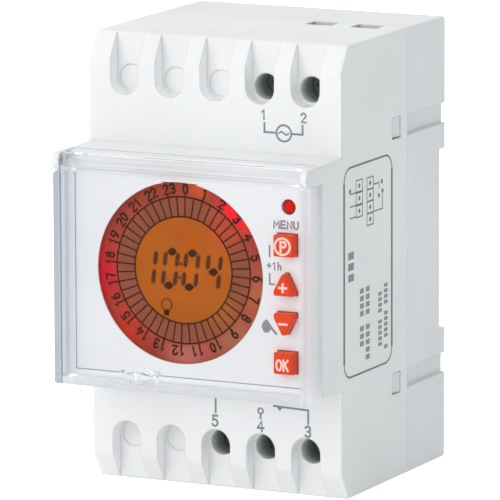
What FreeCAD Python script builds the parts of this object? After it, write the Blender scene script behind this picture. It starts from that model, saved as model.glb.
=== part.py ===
import FreeCAD, Part
import os
import re
import Sketcher

# DIN rail timer, three modules wide, as an assembly of separate pieces.
#
# The frame: X runs to the right, Z runs up and the front looks along -Y.  The origin is
# the middle of the rail seat: y = 0 is the plane of the rail's front face.  A "depth" is
# measured from that plane towards the front, so a point at depth d has y = -d.

SIZES = {
    # casing
    "body_width": 53.0,
    "body_height": 86.5,
    "rear_overhang": 3.0,
    "parting_depth": 14.8,
    "shoulder_depth": 44.0,
    "nose_height": 45.0,
    "nose_taper": 0.25,
    "nose_step_depth": 52.5,
    "nose_front_depth": 55.8,
    "wall": 1.8,
    "edge_radius": 0.7,
    "tip_gap": 0.25,
    "brow_setback": 0.9,
    "nose_hollow_width": 47.2,
    "nose_hollow_height": 38.6,
    "bezel_hollow_height": 37.0,
    "bezel_thickness": 2.0,
    "chamfer_height": 5.0,
    "chamfer_depth": 3.1,
    # terminals
    "terminal_pitch": 9.48,
    "terminal_height": 34.5,
    "scallop_width": 6.0,
    "scallop_depth": 3.0,
    "screw_hole": 5.0,
    "cell_width": 7.8,
    "cell_front": 35.5,
    "cell_start": 28.0,
    "cell_end": 41.4,
    "wire_slot_width": 5.4,
    "wire_slot_depth": 3.8,
    "wire_slot_step": 0.5,
    "knockout_depth": 0.3,
    "bar_thickness": 1.0,
    "bar_width": 4.4,
    "screw_head": 5.8,
    "screw_head_height": 2.2,
    "screw_thread": 3.5,
    "screw_length": 13.0,
    "cage_width": 6.4,
    "cage_height": 7.0,
    "cage_sheet": 0.8,
    "cage_plate": 1.5,
    "cage_depth": 11.3,
    "cage_gap": 1.1,
    "slot_width": 0.9,
    # rail interface
    "rail_slot": 35.3,
    "rail_lip_gap": 1.25,
    "hook_reach": 1.65,
    "hook_inner": 8.0,
    "hook_outer": 18.0,
    "groove_low": 22.5,
    "groove_high": 26.5,
    "groove_inset": 1.0,
    "clip_width": 12.0,
    "clip_gap": 0.1,
    "clip_thickness": 2.6,
    "clip_rail": 1.0,
    "clip_rail_back": 1.7,
    "clip_window_width": 4.0,
    "clip_window_bottom": 39.0,
    "clip_window_top": 24.6,
    "spring_stop": 34.0,
    "spring_stop_width": 3.2,
    "spring_stop_height": 1.6,
    "spring_radius": 1.25,
    "spring_wire": 0.4,
    "spring_coils": 6.0,
    # snap joint between the two halves of the casing
    "snap_low": 22.8,
    "snap_high": 26.7,
    "snap_thickness": 1.3,
    "snap_length": 7.6,
    "snap_gap": 0.1,
    "snap_window_back": 3.0,
    "snap_window_front": 6.8,
    # clear cover
    "cover_front_depth": 59.4,
    "cover_wall": 1.2,
    "cover_gap": 0.1,
    "cover_bottom": 22.05,
    "hinge_height": 20.5,
    "barrel_radius": 1.75,
    "lug_thickness": 1.25,
    "stud_radius": 0.7,
    "tab_width": 7.8,
    "tab_shift": -8.45,
    "tab_arch": 0.9,
    "tab_rise": 0.5,
    "catch_shift": 1.2,
    "catch_width": 3.2,
    "catch_height": 3.5,
    "rib_shift": -2.4,
    "rib_width": 0.9,
    "rib_height": 2.6,
    "nib_width": 5.4,
    # front panel and display
    "panel_thickness": 0.9,
    "panel_left": -23.45,
    "panel_right": 24.2,
    "panel_bottom": -19.5,
    "panel_top": 19.05,
    "panel_gap": 0.1,
    "panel_seat": 1.0,
    "panel_ledge": 0.7,
    "window_radius": 17.25,
    "window_shift": -1.4,
    "window_lift": 0.45,
    "board_thickness": 1.6,
    "display_board_depth": 48.8,
    "lcd_back": 52.4,
    "lcd_thickness": 2.2,
    "lcd_left": -20.4,
    "lcd_right": 17.3,
    "lcd_bottom": -17.9,
    "lcd_top": 18.2,
    "lcd_ledge": 0.8,
    "strip_height": 2.4,
    "notch_width": 2.6,
    "notch_height": 1.5,
    "chip_across": 12.0,
    "chip_up": 9.0,
    "chip_width": 8.0,
    "chip_height": 10.0,
    "leg_pitch": 1.27,
    "crystal_across": 12.0,
    "crystal_up": -2.0,
    "crystal_length": 6.0,
    "crystal_radius": 1.5,
    "cell_across": -9.0,
    "cell_up": -5.0,
    "cell_radius": 8.0,
    "cell_thickness": 3.2,
    "cable_across": -10.0,
    "cable_up": 16.5,
    "cable_pitch": 1.2,
    "header_width": 14.0,
    "header_height": 3.0,
    "header_depth": 2.6,
    # buttons and lamp
    "button_column": 21.0,
    "button_size": 4.1,
    "button_pitch": 7.4,
    "button_top": 7.6,
    "button_front": 57.75,
    "button_tip": 0.7,
    "button_flank": 0.9,
    "button_flange": 0.65,
    "button_gap": 0.12,
    "switch_room": 1.0,
    "switch_size": 4.2,
    "switch_height": 1.6,
    "plunger_radius": 0.9,
    "lamp_column": 21.25,
    "lamp_height": 14.7,
    "lamp_radius": 1.38,
    "lamp_proud": 0.4,
    # main board
    "main_board_depth": 17.0,
    "main_board_width": 45.6,
    "main_board_height": 51.6,
    "post_offset": 20.0,
    "post_size": 4.6,
    "board_screw": 2.4,
    "pilot_depth": 7.0,
    "relay_across": 0.5,
    "relay_up": -14.85,
    "relay_width": 29.0,
    "relay_height": 12.7,
    "relay_depth": 15.7,
    "film_across": -12.0,
    "film_up": -1.75,
    "film_width": 18.0,
    "film_height": 8.5,
    "film_depth": 14.4,
    "can_across": 5.0,
    "can_up": 6.0,
    "can_radius": 5.0,
    "can_depth": 12.5,
    "disc_across": 17.0,
    "disc_up": 3.0,
    "disc_radius": 5.0,
    "disc_thickness": 4.0,
}

LEFT_HALF, RIGHT_HALF = "-body_width / 2", "body_width / 2"
TERMINAL_SLOTS = (-2, -1, 0, 1, 2)
USED_TERMINALS = (            # name, place in the row of five, upper (+1) or lower (-1) row
    ("1", 1, 1),
    ("2", 2, 1),
    ("3", 2, -1),
    ("4", 1, -1),
    ("5", 0, -1),
)
SQUARE, POINT_UP, POINT_DOWN = "square", "point up", "point down"
DISPLAY_FACE = "display_board_depth + board_thickness"
MAIN_FACE = "main_board_depth + board_thickness"
HINGE_DEPTH = "cover_front_depth - barrel_radius"
PANEL_BACK = "nose_front_depth - panel_seat"
BUTTONS = (                   # name, outline, place below the uppermost button
    ("program", SQUARE, 0),
    ("plus", POINT_UP, 1),
    ("minus", POINT_DOWN, 2),
    ("ok", SQUARE, 3),
)

doc = FreeCAD.newDocument("DinRailTimer")
sheet = doc.addObject("Spreadsheet::Sheet", "Sizes")
for row, (alias, value) in enumerate(SIZES.items(), start=1):
    sheet.set(f"A{row}", alias)
    sheet.set(f"B{row}", str(value))
    sheet.setAlias(f"B{row}", alias)
doc.recompute()

nodes = []


# ---------------------------------------------------------------- helpers

def sized(formula):
    """Turn a formula of size names into an expression that reads the sheet."""
    return re.sub(r"[a-z_]+", lambda word: "Sizes." + word.group(), formula)


def node(part, label):
    """Give a finished piece its own name, which is also its file's name."""
    part.Label = label
    nodes.append(part)
    return part


def around(centre, size):
    """The low and high formulas of a length laid evenly about a centre."""
    return f"{centre} - ({size}) / 2", f"{centre} + ({size}) / 2"


def both(low, high):
    """A span and its mirror image about zero."""
    return (low, high), (f"-({high})", f"-({low})")


def block(x, depth, z):
    """A box between three pairs of formulas."""
    box = doc.addObject("Part::Box", "Block")
    box.setExpression("Length", sized(f"({x[1]}) - ({x[0]})"))
    box.setExpression("Width", sized(f"({depth[1]}) - ({depth[0]})"))
    box.setExpression("Height", sized(f"({z[1]}) - ({z[0]})"))
    box.setExpression("Placement.Base.x", sized(x[0]))
    box.setExpression("Placement.Base.y", sized(f"-({depth[1]})"))
    box.setExpression("Placement.Base.z", sized(z[0]))
    return box


def rod(axis, at, span, radius):
    """A cylinder along x, depth or z; at is where its axis crosses the other two."""
    cylinder = doc.addObject("Part::Cylinder", "Rod")
    cylinder.setExpression("Radius", sized(radius))
    cylinder.setExpression("Height", sized(f"({span[1]}) - ({span[0]})"))
    if axis == "x":
        turn = FreeCAD.Rotation(FreeCAD.Vector(0, 1, 0), 90)
        base = (span[0], f"-({at[0]})", at[1])
    elif axis == "depth":
        turn = FreeCAD.Rotation(FreeCAD.Vector(1, 0, 0), 90)
        base = (at[0], f"-({span[0]})", at[1])
    else:
        turn = FreeCAD.Rotation()
        base = (at[0], f"-({at[1]})", span[0])
    cylinder.Placement = FreeCAD.Placement(FreeCAD.Vector(), turn)
    for letter, formula in zip("xyz", base):
        cylinder.setExpression(f"Placement.Base.{letter}", sized(formula))
    return cylinder


def fuse(*parts):
    joined = doc.addObject("Part::MultiFuse", "Fuse")
    joined.Shapes = list(parts)
    joined.Refine = True
    return joined


def cut(base, *tools):
    result = doc.addObject("Part::Cut", "Cut")
    result.Base = base
    result.Tool = tools[0] if len(tools) == 1 else fuse(*tools)
    result.Refine = True
    return result


def group(*parts):
    """Identical separate solids that share one node."""
    compound = doc.addObject("Part::Compound", "Group")
    compound.Links = list(parts)
    return compound


def rectangle(across, up):
    """Corner formulas of a rectangle, anticlockwise."""
    return [(across[0], up[0]), (across[1], up[0]), (across[1], up[1]), (across[0], up[1])]


def circle(across, up, radius):
    return (across, up, radius)


PLANES = {"x": "YZ_Plane", "depth": "XZ_Plane", "z": "XY_Plane"}


def draw(body, axis, place, outlines):
    """A sketch square to one axis.  Its outlines hold (x, z), (depth, z) or (x, depth)."""
    sketch = body.newObject("Sketcher::SketchObject", "Sketch")
    plane = [item for item in body.Origin.OriginFeatures if item.Role == PLANES[axis]][0]
    sketch.AttachmentSupport = [(plane, "")]
    sketch.MapMode = "FlatFace"
    sketch.setExpression("AttachmentOffset.Base.z", sized(place))

    def flat(point):
        across, up = point
        if axis == "x":
            return f"-({across})", up
        if axis == "z":
            return across, f"-({up})"
        return across, up

    def pin(geometry, vertex, point):
        for kind, formula in zip(("DistanceX", "DistanceY"), flat(point)):
            number = sketch.addConstraint(Sketcher.Constraint(kind, -1, 1, geometry, vertex, 1.0))
            sketch.setExpression(f"Constraints[{number}]", sized(formula))

    for outline in outlines:
        if isinstance(outline, tuple):
            across, up, radius = outline
            ring = sketch.addGeometry(Part.Circle(FreeCAD.Vector(1, 1, 0), FreeCAD.Vector(0, 0, 1), 1))
            number = sketch.addConstraint(Sketcher.Constraint("Radius", ring, 1.0))
            sketch.setExpression(f"Constraints[{number}]", sized(radius))
            pin(ring, 3, (across, up))
            continue
        first = sketch.GeometryCount
        count = len(outline)
        for corner in range(count):
            start = FreeCAD.Vector(corner, corner % 2, 0)
            sketch.addGeometry(Part.LineSegment(start, start + FreeCAD.Vector(1, 1, 0)))
        for corner in range(count):
            following = first + (corner + 1) % count
            sketch.addConstraint(Sketcher.Constraint("Coincident", first + corner, 2, following, 1))
        for corner, point in enumerate(outline):
            pin(first + corner, 1, point)
    return sketch


def pad(body, axis, span, *outlines):
    """Add material between two places along an axis."""
    feature = body.newObject("PartDesign::Pad", "Pad")
    feature.Profile = draw(body, axis, span[0], outlines)
    feature.setExpression("Length", sized(f"({span[1]}) - ({span[0]})"))
    return feature


def pocket(body, axis, span, *outlines):
    """Remove material between two places along an axis, and make sure that some went."""
    doc.recompute()
    before = body.Shape.Volume
    feature = body.newObject("PartDesign::Pocket", "Pocket")
    feature.Profile = draw(body, axis, span[1], outlines)
    feature.setExpression("Length", sized(f"({span[1]}) - ({span[0]})"))
    doc.recompute()
    if not body.Shape.Volume < before - 1e-3:
        raise ValueError(f"{body.Label}: the pocket {feature.Name} cuts nothing")
    return feature


def round_edges(body, radius, wanted):
    """Fillet the edges of the body that a test on an edge picks out."""
    doc.recompute()
    base = body.Tip
    names = [f"Edge{i}" for i, edge in enumerate(base.Shape.Edges, start=1) if wanted(edge)]
    feature = body.newObject("PartDesign::Fillet", "Fillet")
    feature.Base = (base, names)
    feature.setExpression("Radius", sized(radius))
    doc.recompute()
    return feature


def new_body(label):
    return node(doc.addObject("PartDesign::Body", label), label)


def size(name):
    return SIZES[name]


# ---------------------------------------------------------------- casing

def slot_x(place):
    """The x of a terminal slot in the row of five."""
    return f"{place} * terminal_pitch"


END_WALLS = ((1, ("cell_end", "body_height / 2")), (-1, ("-body_height / 2", "-cell_end")))


def wire_slots(row):
    """The outlines of the wire entries in the upper or the lower end wall."""
    depth = ("parting_depth - wire_slot_step", "parting_depth + wire_slot_depth")
    return [rectangle(around(slot_x(place), "wire_slot_width"), depth)
            for _, place, side in USED_TERMINALS if side == row]


def post_places():
    """The centres of the four posts that carry the main board."""
    return [(f"{a} * post_offset", f"{b} * post_offset") for a in (-1, 1) for b in (-1, 1)]


def front_housing():
    """The front half: terminal shoulders, tapered nose, screw wells and cover lugs."""
    body = new_body("front_housing")
    top = "body_height / 2"
    half_nose = "nose_height / 2"
    slim_nose = "nose_height / 2 - nose_taper"
    upper = [
        ("nose_step_depth", slim_nose),
        ("shoulder_depth", half_nose),
        ("shoulder_depth", f"{top} - chamfer_height"),
        ("shoulder_depth - chamfer_depth", top),
        ("parting_depth", top),
    ]
    lower = [(depth, f"-({height})") for depth, height in reversed(upper)]
    pad(body, "x", (LEFT_HALF, RIGHT_HALF), upper + lower)

    def outer_edge(edge):
        """Every edge but those on the parting plane and round the root of the nose tip."""
        box = edge.BoundBox
        on_parting = box.YMin > -size("parting_depth") - 0.01
        on_step = box.YMax < -size("nose_step_depth") + 0.01
        crease = (abs(box.YMin + size("shoulder_depth")) < 0.01
                  and abs(box.YMax + size("shoulder_depth")) < 0.01
                  and abs(abs(box.ZMin) - size("nose_height") / 2) < 0.01)
        return not (on_parting or on_step or crease)

    round_edges(body, "edge_radius", outer_edge)

    # nose tip inside the cover, its brow over the panel, and the two hinge lugs
    tip_side = "body_width / 2 - cover_wall - tip_gap"
    tip_bottom = "-(cover_bottom - cover_wall - tip_gap)"
    brow = "hinge_height - 0.3"
    tip_x = (f"-({tip_side})", tip_side)
    pad(body, "depth", ("nose_step_depth", "nose_front_depth"), rectangle(tip_x, (tip_bottom, brow)))
    pad(body, "depth", ("nose_step_depth", "nose_front_depth - brow_setback"),
        rectangle(tip_x, (brow, "hinge_height + barrel_radius - 0.1")))
    lug_radius = "barrel_radius - 0.05"
    lug_z = around("hinge_height", f"2 * ({lug_radius})")
    for span in both("body_width / 2 - lug_thickness", "body_width / 2"):
        pad(body, "x", span, rectangle(("nose_step_depth - 0.5", HINGE_DEPTH), lug_z))
        pad(body, "x", span, circle(HINGE_DEPTH, "hinge_height", lug_radius))
    for span in both("body_width / 2 - lug_thickness", "body_width / 2 - 0.3"):
        pocket(body, "x", span, circle(HINGE_DEPTH, "hinge_height", "stud_radius + 0.06"))

    # hollow inside, from the parting plane to the seat of the front panel
    inner = "body_width / 2 - wall"
    bezel_back = "nose_front_depth - bezel_thickness"
    hollow_x = around("0", "nose_hollow_width")
    pocket(body, "depth", ("parting_depth", "shoulder_depth - wall"),
           rectangle((f"-({inner})", inner), ("-cell_start", "cell_start")))
    pocket(body, "depth", ("shoulder_depth - wall", DISPLAY_FACE),
           rectangle(hollow_x, around("0", "nose_hollow_height")))
    pocket(body, "depth", (DISPLAY_FACE, bezel_back),
           rectangle(hollow_x, around("0", "bezel_hollow_height")))
    pocket(body, "depth", (bezel_back, PANEL_BACK),
           rectangle(("panel_left + panel_ledge", "panel_right - panel_ledge"),
                     ("panel_bottom + panel_ledge", "panel_top - panel_ledge")))
    pocket(body, "depth", (PANEL_BACK, "nose_front_depth"),
           rectangle(("panel_left", "panel_right"), ("panel_bottom", "panel_top")))

    # one cell behind each terminal slot, open towards the rear base
    cells = [rectangle(around(slot_x(place), "cell_width"), span)
             for place in TERMINAL_SLOTS
             for span in both("cell_start", "cell_end")]
    pocket(body, "depth", ("parting_depth", "cell_front"), *cells)

    # scallops that run out at the top and bottom faces, with a round inner end
    floor = ("shoulder_depth - scallop_depth", "shoulder_depth")
    channels = [rectangle(around(slot_x(place), "scallop_width"), span)
                for place in TERMINAL_SLOTS
                for span in both("terminal_height", "body_height / 2 + 1")]
    pocket(body, "depth", floor, *channels)
    ends = [circle(slot_x(place), f"{row} * terminal_height", "scallop_width / 2")
            for place in TERMINAL_SLOTS for row in (1, -1)]
    pocket(body, "depth", floor, *ends)

    # screw holes where a terminal is fitted, a shallow round recess where none is
    used = {(place, row) for _, place, row in USED_TERMINALS}
    holes = [circle(slot_x(place), f"{row} * terminal_height", "screw_hole / 2")
             for place, row in sorted(used)]
    pocket(body, "depth", ("cell_front", "shoulder_depth - scallop_depth"), *holes)
    blanks = [circle(slot_x(place), f"{row} * terminal_height", "screw_hole / 2")
              for place in TERMINAL_SLOTS for row in (1, -1) if (place, row) not in used]
    floor_depth = "shoulder_depth - scallop_depth"
    pocket(body, "depth", (f"{floor_depth} - knockout_depth", floor_depth), *blanks)

    # wire entries in the top and bottom faces, at the parting plane
    for row, span in END_WALLS:
        pocket(body, "z", span, *wire_slots(row))

    # windows for the snap hooks of the rear base, and the groove for the cover's catch
    window_depth = ("parting_depth + snap_window_back", "parting_depth + snap_window_front")
    window_z = both("snap_low - 2 * snap_gap", "snap_high + snap_gap")
    for span in both("body_width / 2 - wall", "body_width / 2"):
        pocket(body, "x", span, *[rectangle(window_depth, height) for height in window_z])
    pocket(body, "depth", ("nose_step_depth + 0.9", "nose_step_depth + 1.9"),
           rectangle(around("tab_shift", "nib_width + 1"), (tip_bottom, f"{tip_bottom} + 0.5")))
    return body


def rear_base():
    """The rear half: open box with the rail seat, fixed hooks, clip channel and snap hooks."""
    body = new_body("rear_base")
    top = "body_height / 2"
    pad(body, "depth", ("-rear_overhang", "parting_depth"),
        rectangle((LEFT_HALF, RIGHT_HALF), (f"-{top}", top)))

    def long_edge(edge):
        """Edges that run from front to back along the four corners."""
        return edge.BoundBox.YLength > 1 and edge.BoundBox.XLength < 0.01

    def rear_rim(edge):
        return edge.BoundBox.YMin > size("rear_overhang") - 0.01

    round_edges(body, "edge_radius", lambda edge: long_edge(edge) or rear_rim(edge))
    pocket(body, "depth", ("-rear_overhang", "0"),
           rectangle((f"{LEFT_HALF} - 1", f"{RIGHT_HALF} + 1"), around("0", "rail_slot")))
    grooves = [rectangle(side, height)
               for side in both("body_width / 2 - groove_inset", "body_width / 2 + 1")
               for height in both("groove_low", "groove_high")]
    pocket(body, "depth", ("-rear_overhang", "parting_depth"), *grooves)

    inner = "body_width / 2 - wall"
    pocket(body, "depth", ("2", "parting_depth"),
           rectangle((f"-({inner})", inner), ("-cell_end", "cell_end")))
    relief_low = "rail_slot / 2 + 2"
    pocket(body, "depth", ("-rear_overhang + wall", "2"),
           rectangle((f"-({inner})", inner), (relief_low, "cell_end")),
           *[rectangle(side, ("-cell_end", f"-({relief_low})"))
             for side in both("clip_width / 2 + 3", inner)])

    # the wire entries run a little way into this half too
    for row, span in END_WALLS:
        pocket(body, "z", span, *wire_slots(row))

    # fixed hooks behind the rail's upper edge
    for side in both("hook_inner", "hook_outer"):
        pad(body, "depth", ("-rear_overhang", "-rail_lip_gap"),
            rectangle(side, ("rail_slot / 2 - hook_reach", "rail_slot / 2 + 0.5")))

    # channel for the sliding clip, with side grooves that keep it in, and the spring's stop
    below = (f"-{top} - 1", "-rail_slot / 2 + 0.5")
    channel_width = "clip_width + 2 * clip_gap"
    groove_depth = ("-clip_rail_back - clip_gap", "-clip_rail_back + clip_rail + clip_gap")
    pocket(body, "depth", ("-rear_overhang", "2 * clip_gap"), rectangle(around("0", channel_width), below))
    pocket(body, "depth", groove_depth, rectangle(around("0", f"{channel_width} + 2 * clip_rail"), below))
    pad(body, "depth", ("-clip_thickness + 0.4", "0.4"),
        rectangle(around("0", "spring_stop_width"),
                  ("-spring_stop - spring_stop_height", "-spring_stop")))

    # posts under the main board, with pilot holes for its screws
    for x, z in post_places():
        pad(body, "depth", ("1.5", "main_board_depth"),
            rectangle(around(x, "post_size"), around(z, "post_size")))
    pocket(body, "depth", ("main_board_depth - pilot_depth", "main_board_depth"),
           *[circle(x, z, "board_screw / 2 + 0.03") for x, z in post_places()])

    # snap arms whose ramped hooks spring into the windows of the front half
    arm_outer = "body_width / 2 - wall - 0.1"
    arm_inner = f"{arm_outer} - snap_thickness"
    hook_back = "parting_depth + snap_window_back + snap_gap"
    hook_front = "parting_depth + snap_window_front - snap_gap"
    for height in both("snap_low", "snap_high"):
        for side in both(arm_inner, f"{arm_outer} + 0.4"):
            pad(body, "depth", ("1.5", "parting_depth"), rectangle(side, height))
        for side in both(arm_inner, arm_outer):
            pad(body, "depth", ("parting_depth - 0.5", "parting_depth + snap_length"),
                rectangle(side, height))
        for sign in ("", "-"):
            ramp = [
                (f"{sign}({arm_outer} - 0.3)", hook_back),
                (f"{sign}(body_width / 2 - 0.15)", hook_back),
                (f"{sign}(body_width / 2 - 0.8)", hook_front),
                (f"{sign}({arm_outer} - 0.3)", hook_front),
            ]
            pad(body, "z", height, ramp if sign else list(reversed(ramp)))
    return body


# ---------------------------------------------------------------- cover

def clear_cover():
    """The hinged clear lid with its barrel, studs, thumb tab and catch."""
    body = new_body("clear_cover")
    back = "nose_step_depth + cover_gap"
    inner_front = "cover_front_depth - cover_wall"
    side_top = "hinge_height - barrel_radius - 0.15"
    front_skin = ("cover_front_depth - 0.2", "cover_front_depth + tab_rise")
    bottom = "-cover_bottom"
    pad(body, "depth", (inner_front, "cover_front_depth"),
        rectangle((LEFT_HALF, RIGHT_HALF), (bottom, side_top)))
    round_edges(body, "0.5", lambda edge: edge.BoundBox.YMax < -size("cover_front_depth") + 0.01
                or edge.BoundBox.YLength > 1)
    for side in both("body_width / 2 - cover_wall", "body_width / 2"):
        pad(body, "depth", (back, f"{inner_front} + 0.3"), rectangle(side, (bottom, side_top)))
    pad(body, "depth", (back, f"{inner_front} + 0.3"),
        rectangle((LEFT_HALF, RIGHT_HALF), (bottom, f"{bottom} + cover_wall")))

    # barrel between the lugs, opened towards the nose, and its two studs
    barrel_end = "body_width / 2 - lug_thickness - 0.15"
    across = (f"-({barrel_end})", barrel_end)
    pad(body, "depth", (HINGE_DEPTH, "cover_front_depth"),
        rectangle(across, (f"{side_top} - 0.3", "hinge_height")))
    pad(body, "x", across, circle(HINGE_DEPTH, "hinge_height", "barrel_radius"))
    hollow = (f"-({barrel_end}) + 3", f"{barrel_end} - 3")
    pocket(body, "x", hollow, circle(HINGE_DEPTH, "hinge_height", "barrel_radius - 0.9"))
    pocket(body, "x", hollow,
           rectangle((f"{HINGE_DEPTH} - barrel_radius", HINGE_DEPTH),
                     ("hinge_height - barrel_radius", "hinge_height")))
    for side in both(f"{barrel_end} - 0.5", "body_width / 2 - 0.4"):
        pad(body, "x", side, circle(HINGE_DEPTH, "hinge_height", "stud_radius"))

    # arched thumb tab outside, catch block, stiffening rib and nib inside
    tab_centre = f"{bottom} + tab_arch"
    pad(body, "depth", front_skin,
        rectangle(around("tab_shift", "tab_width"), (bottom, tab_centre)))
    pad(body, "depth", front_skin, circle("tab_shift", tab_centre, "tab_width / 2"))
    pocket(body, "depth", front_skin,
           rectangle(around("tab_shift", "tab_width + 2"), (f"{bottom} - 3", bottom)))
    for shift, width, height in (("catch_shift", "catch_width", "catch_height"),
                                 ("rib_shift", "rib_width", "rib_height")):
        pad(body, "depth", (f"{inner_front} - 2", f"{inner_front} + 0.2"),
            rectangle(around(f"(tab_shift + {shift})", width), (f"{bottom} + 0.6", f"{bottom} + {height}")))
    pad(body, "depth", ("nose_step_depth + 1", "nose_step_depth + 1.8"),
        rectangle(around("tab_shift", "nib_width"), (f"{bottom} + 0.6", f"{bottom} + cover_wall + 0.22")))
    return body


# ---------------------------------------------------------------- front panel and buttons

def button_z(place):
    return f"(button_top - {place} * button_pitch)"


def button_outline(shape, place, grow):
    """The outline of a button, or of the hole it slides in, grown by a gap."""
    half = f"(button_size / 2 + {grow})"
    x, z = "button_column", button_z(place)
    if shape == SQUARE:
        return rectangle(around(x, f"2 * {half}"), around(z, f"2 * {half}"))
    tip, base = ("+", "-") if shape == POINT_UP else ("-", "+")
    tip_half = f"(button_tip / 2 + {grow} / 2)"
    return [
        (f"{x} - {tip_half}", f"{z} {tip} {half}"),
        (f"{x} - {half}", f"{z} {base} ({half} - button_flank)"),
        (f"{x} - {half}", f"{z} {base} {half}"),
        (f"{x} + {half}", f"{z} {base} {half}"),
        (f"{x} + {half}", f"{z} {base} ({half} - button_flank)"),
        (f"{x} + {tip_half}", f"{z} {tip} {half}"),
    ]


def front_panel():
    """The inset plate with the round window, the lamp hole and four button holes."""
    body = new_body("front_panel")
    plate = (PANEL_BACK, f"{PANEL_BACK} + panel_thickness")
    pad(body, "depth", plate,
        rectangle(("panel_left + panel_gap", "panel_right - panel_gap"),
                  ("panel_bottom + panel_gap", "panel_top - panel_gap")))
    pocket(body, "depth", plate,
           circle("window_shift", "window_lift", "window_radius + 0.05"),
           circle("lamp_column", "lamp_height", "lamp_radius + 0.08"),
           *[button_outline(shape, place, "button_gap") for _, shape, place in BUTTONS])
    return body


def button(name, shape, place):
    """A keycap with a flange that stops it behind the panel and a stem to its switch."""
    body = new_body(f"{name}_button")
    flange_front = f"{PANEL_BACK} - panel_gap"
    flange_back = f"{flange_front} - button_flange"
    pad(body, "depth", (flange_front, "button_front"), button_outline(shape, place, "0"))
    round_edges(body, "0.35", lambda edge: edge.BoundBox.YMax < -size("button_front") + 0.01)
    round_edges(body, "0.3", lambda edge: edge.BoundBox.YLength > 2
                and edge.BoundBox.XLength < 0.01 and edge.BoundBox.ZLength < 0.01)
    pad(body, "depth", (flange_back, flange_front),
        rectangle(around("button_column - 0.2", "button_size + 0.6"),
                  around(button_z(place), "button_size + 1")))
    pad(body, "depth", (f"{DISPLAY_FACE} + switch_height + switch_room", f"{flange_back} + 0.1"),
        circle("button_column", button_z(place), "1"))
    return body


def switch_plunger(name, place):
    """The stem of a tactile switch, pressed by the keycap in front of it."""
    at = ("button_column", button_z(place))
    plunger = rod("depth", at,
                  (f"{DISPLAY_FACE} + 0.6", f"{DISPLAY_FACE} + switch_height + switch_room"),
                  "plunger_radius")
    collar = rod("depth", at, (f"{DISPLAY_FACE} + 0.6", f"{DISPLAY_FACE} + 0.9"), "plunger_radius + 0.3")
    return node(fuse(plunger, collar), f"{name}_switch_plunger")


# ---------------------------------------------------------------- display stack

def display_window():
    """The round clear pane in the front panel."""
    pane = rod("depth", ("window_shift", "window_lift"),
               (PANEL_BACK, f"{PANEL_BACK} + panel_thickness - 0.05"), "window_radius")
    return node(pane, "display_window")


def lcd_glass():
    """Two bonded glass plates; the rear one has a contact ledge along its lower edge."""
    middle = "lcd_back + lcd_thickness / 2"
    across = ("lcd_left", "lcd_right")
    rear = block(across, ("lcd_back", middle), ("lcd_bottom", "lcd_top"))
    front = block(across, (middle, "lcd_back + lcd_thickness"), ("lcd_bottom + lcd_ledge", "lcd_top"))
    return node(fuse(rear, front), "lcd_glass")


def lcd_backlight():
    """The light guide behind the glass, with two lamp pockets at its upper edge."""
    guide = block(("lcd_left + 1.4", "lcd_right - 1.5"), (f"{DISPLAY_FACE} + 0.1", "lcd_back - 0.1"),
                  ("lcd_bottom + 3.3", "lcd_top - 3.2"))
    lamps = [block(around(x, "3.2"), ("display_board_depth", "lcd_back - 0.9"),
                   ("lcd_top - 4.2", "lcd_top - 2.2"))
             for x in ("-9", "6")]
    return node(cut(guide, *lamps), "lcd_backlight")


def zebra_strips():
    """Two rubber strips that join the glass to the board."""
    across = ("lcd_left + 0.9", "lcd_right - 0.8")
    heights = (("lcd_top - 0.4 - strip_height", "lcd_top - 0.4"),
               ("lcd_bottom + 0.4", "lcd_bottom + 0.4 + strip_height"))
    strips = [block(across, (DISPLAY_FACE, "lcd_back"), height) for height in heights]
    return node(group(*strips), "zebra_strips")


def display_board():
    """The circuit board that carries the display and the switches."""
    half_width = "nose_hollow_width / 2 - 0.2"
    half_height = "nose_hollow_height / 2 - 0.2"
    board = block((f"-({half_width})", half_width), ("display_board_depth", DISPLAY_FACE),
                  (f"-({half_height})", half_height))
    notches = [block(side, ("display_board_depth - 1", "display_board_depth + 3"),
                     (f"-({half_height}) - 1", f"-({half_height}) + notch_height"))
               for side in both(f"{half_width} - notch_width", f"{half_width} + 1")]
    return node(cut(board, *notches), "display_board")


def indicator_led():
    """The red lamp above the buttons: base ring, barrel and round end."""
    at = ("lamp_column", "lamp_height")
    dome_depth = "nose_front_depth + lamp_proud - lamp_radius"
    ring = rod("depth", at, (f"{DISPLAY_FACE} + 0.8", f"{DISPLAY_FACE} + 1.8"), "lamp_radius + 0.3")
    barrel = rod("depth", at, (f"{DISPLAY_FACE} + 1.6", dome_depth), "lamp_radius")
    dome = doc.addObject("Part::Sphere", "Dome")
    dome.setExpression("Radius", sized("lamp_radius"))
    dome.setExpression("Placement.Base.x", sized(at[0]))
    dome.setExpression("Placement.Base.y", sized(f"-({dome_depth})"))
    dome.setExpression("Placement.Base.z", sized(at[1]))
    leads = [rod("depth", (f"{at[0]} {shift}", at[1]), (DISPLAY_FACE, f"{DISPLAY_FACE} + 1"), "0.25")
             for shift in ("- 0.9", "+ 0.9")]
    return node(fuse(ring, barrel, dome, *leads), "indicator_led")


def tact_switches():
    """The four switch cases, each with a well for its plunger."""
    top = f"{DISPLAY_FACE} + switch_height"
    cases = []
    for _, _, place in BUTTONS:
        at = ("button_column", button_z(place))
        case = block(around(at[0], "switch_size"), (DISPLAY_FACE, top), around(at[1], "switch_size"))
        well = rod("depth", at, (f"{DISPLAY_FACE} + 0.08", f"{top} + 1"), "plunger_radius + 0.05")
        room = rod("depth", at, (f"{DISPLAY_FACE} + 0.05", f"{DISPLAY_FACE} + 1.1"),
                   "plunger_radius + 0.4")
        cases.append(cut(case, well, room))
    return node(group(*cases), "tact_switches")


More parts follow.
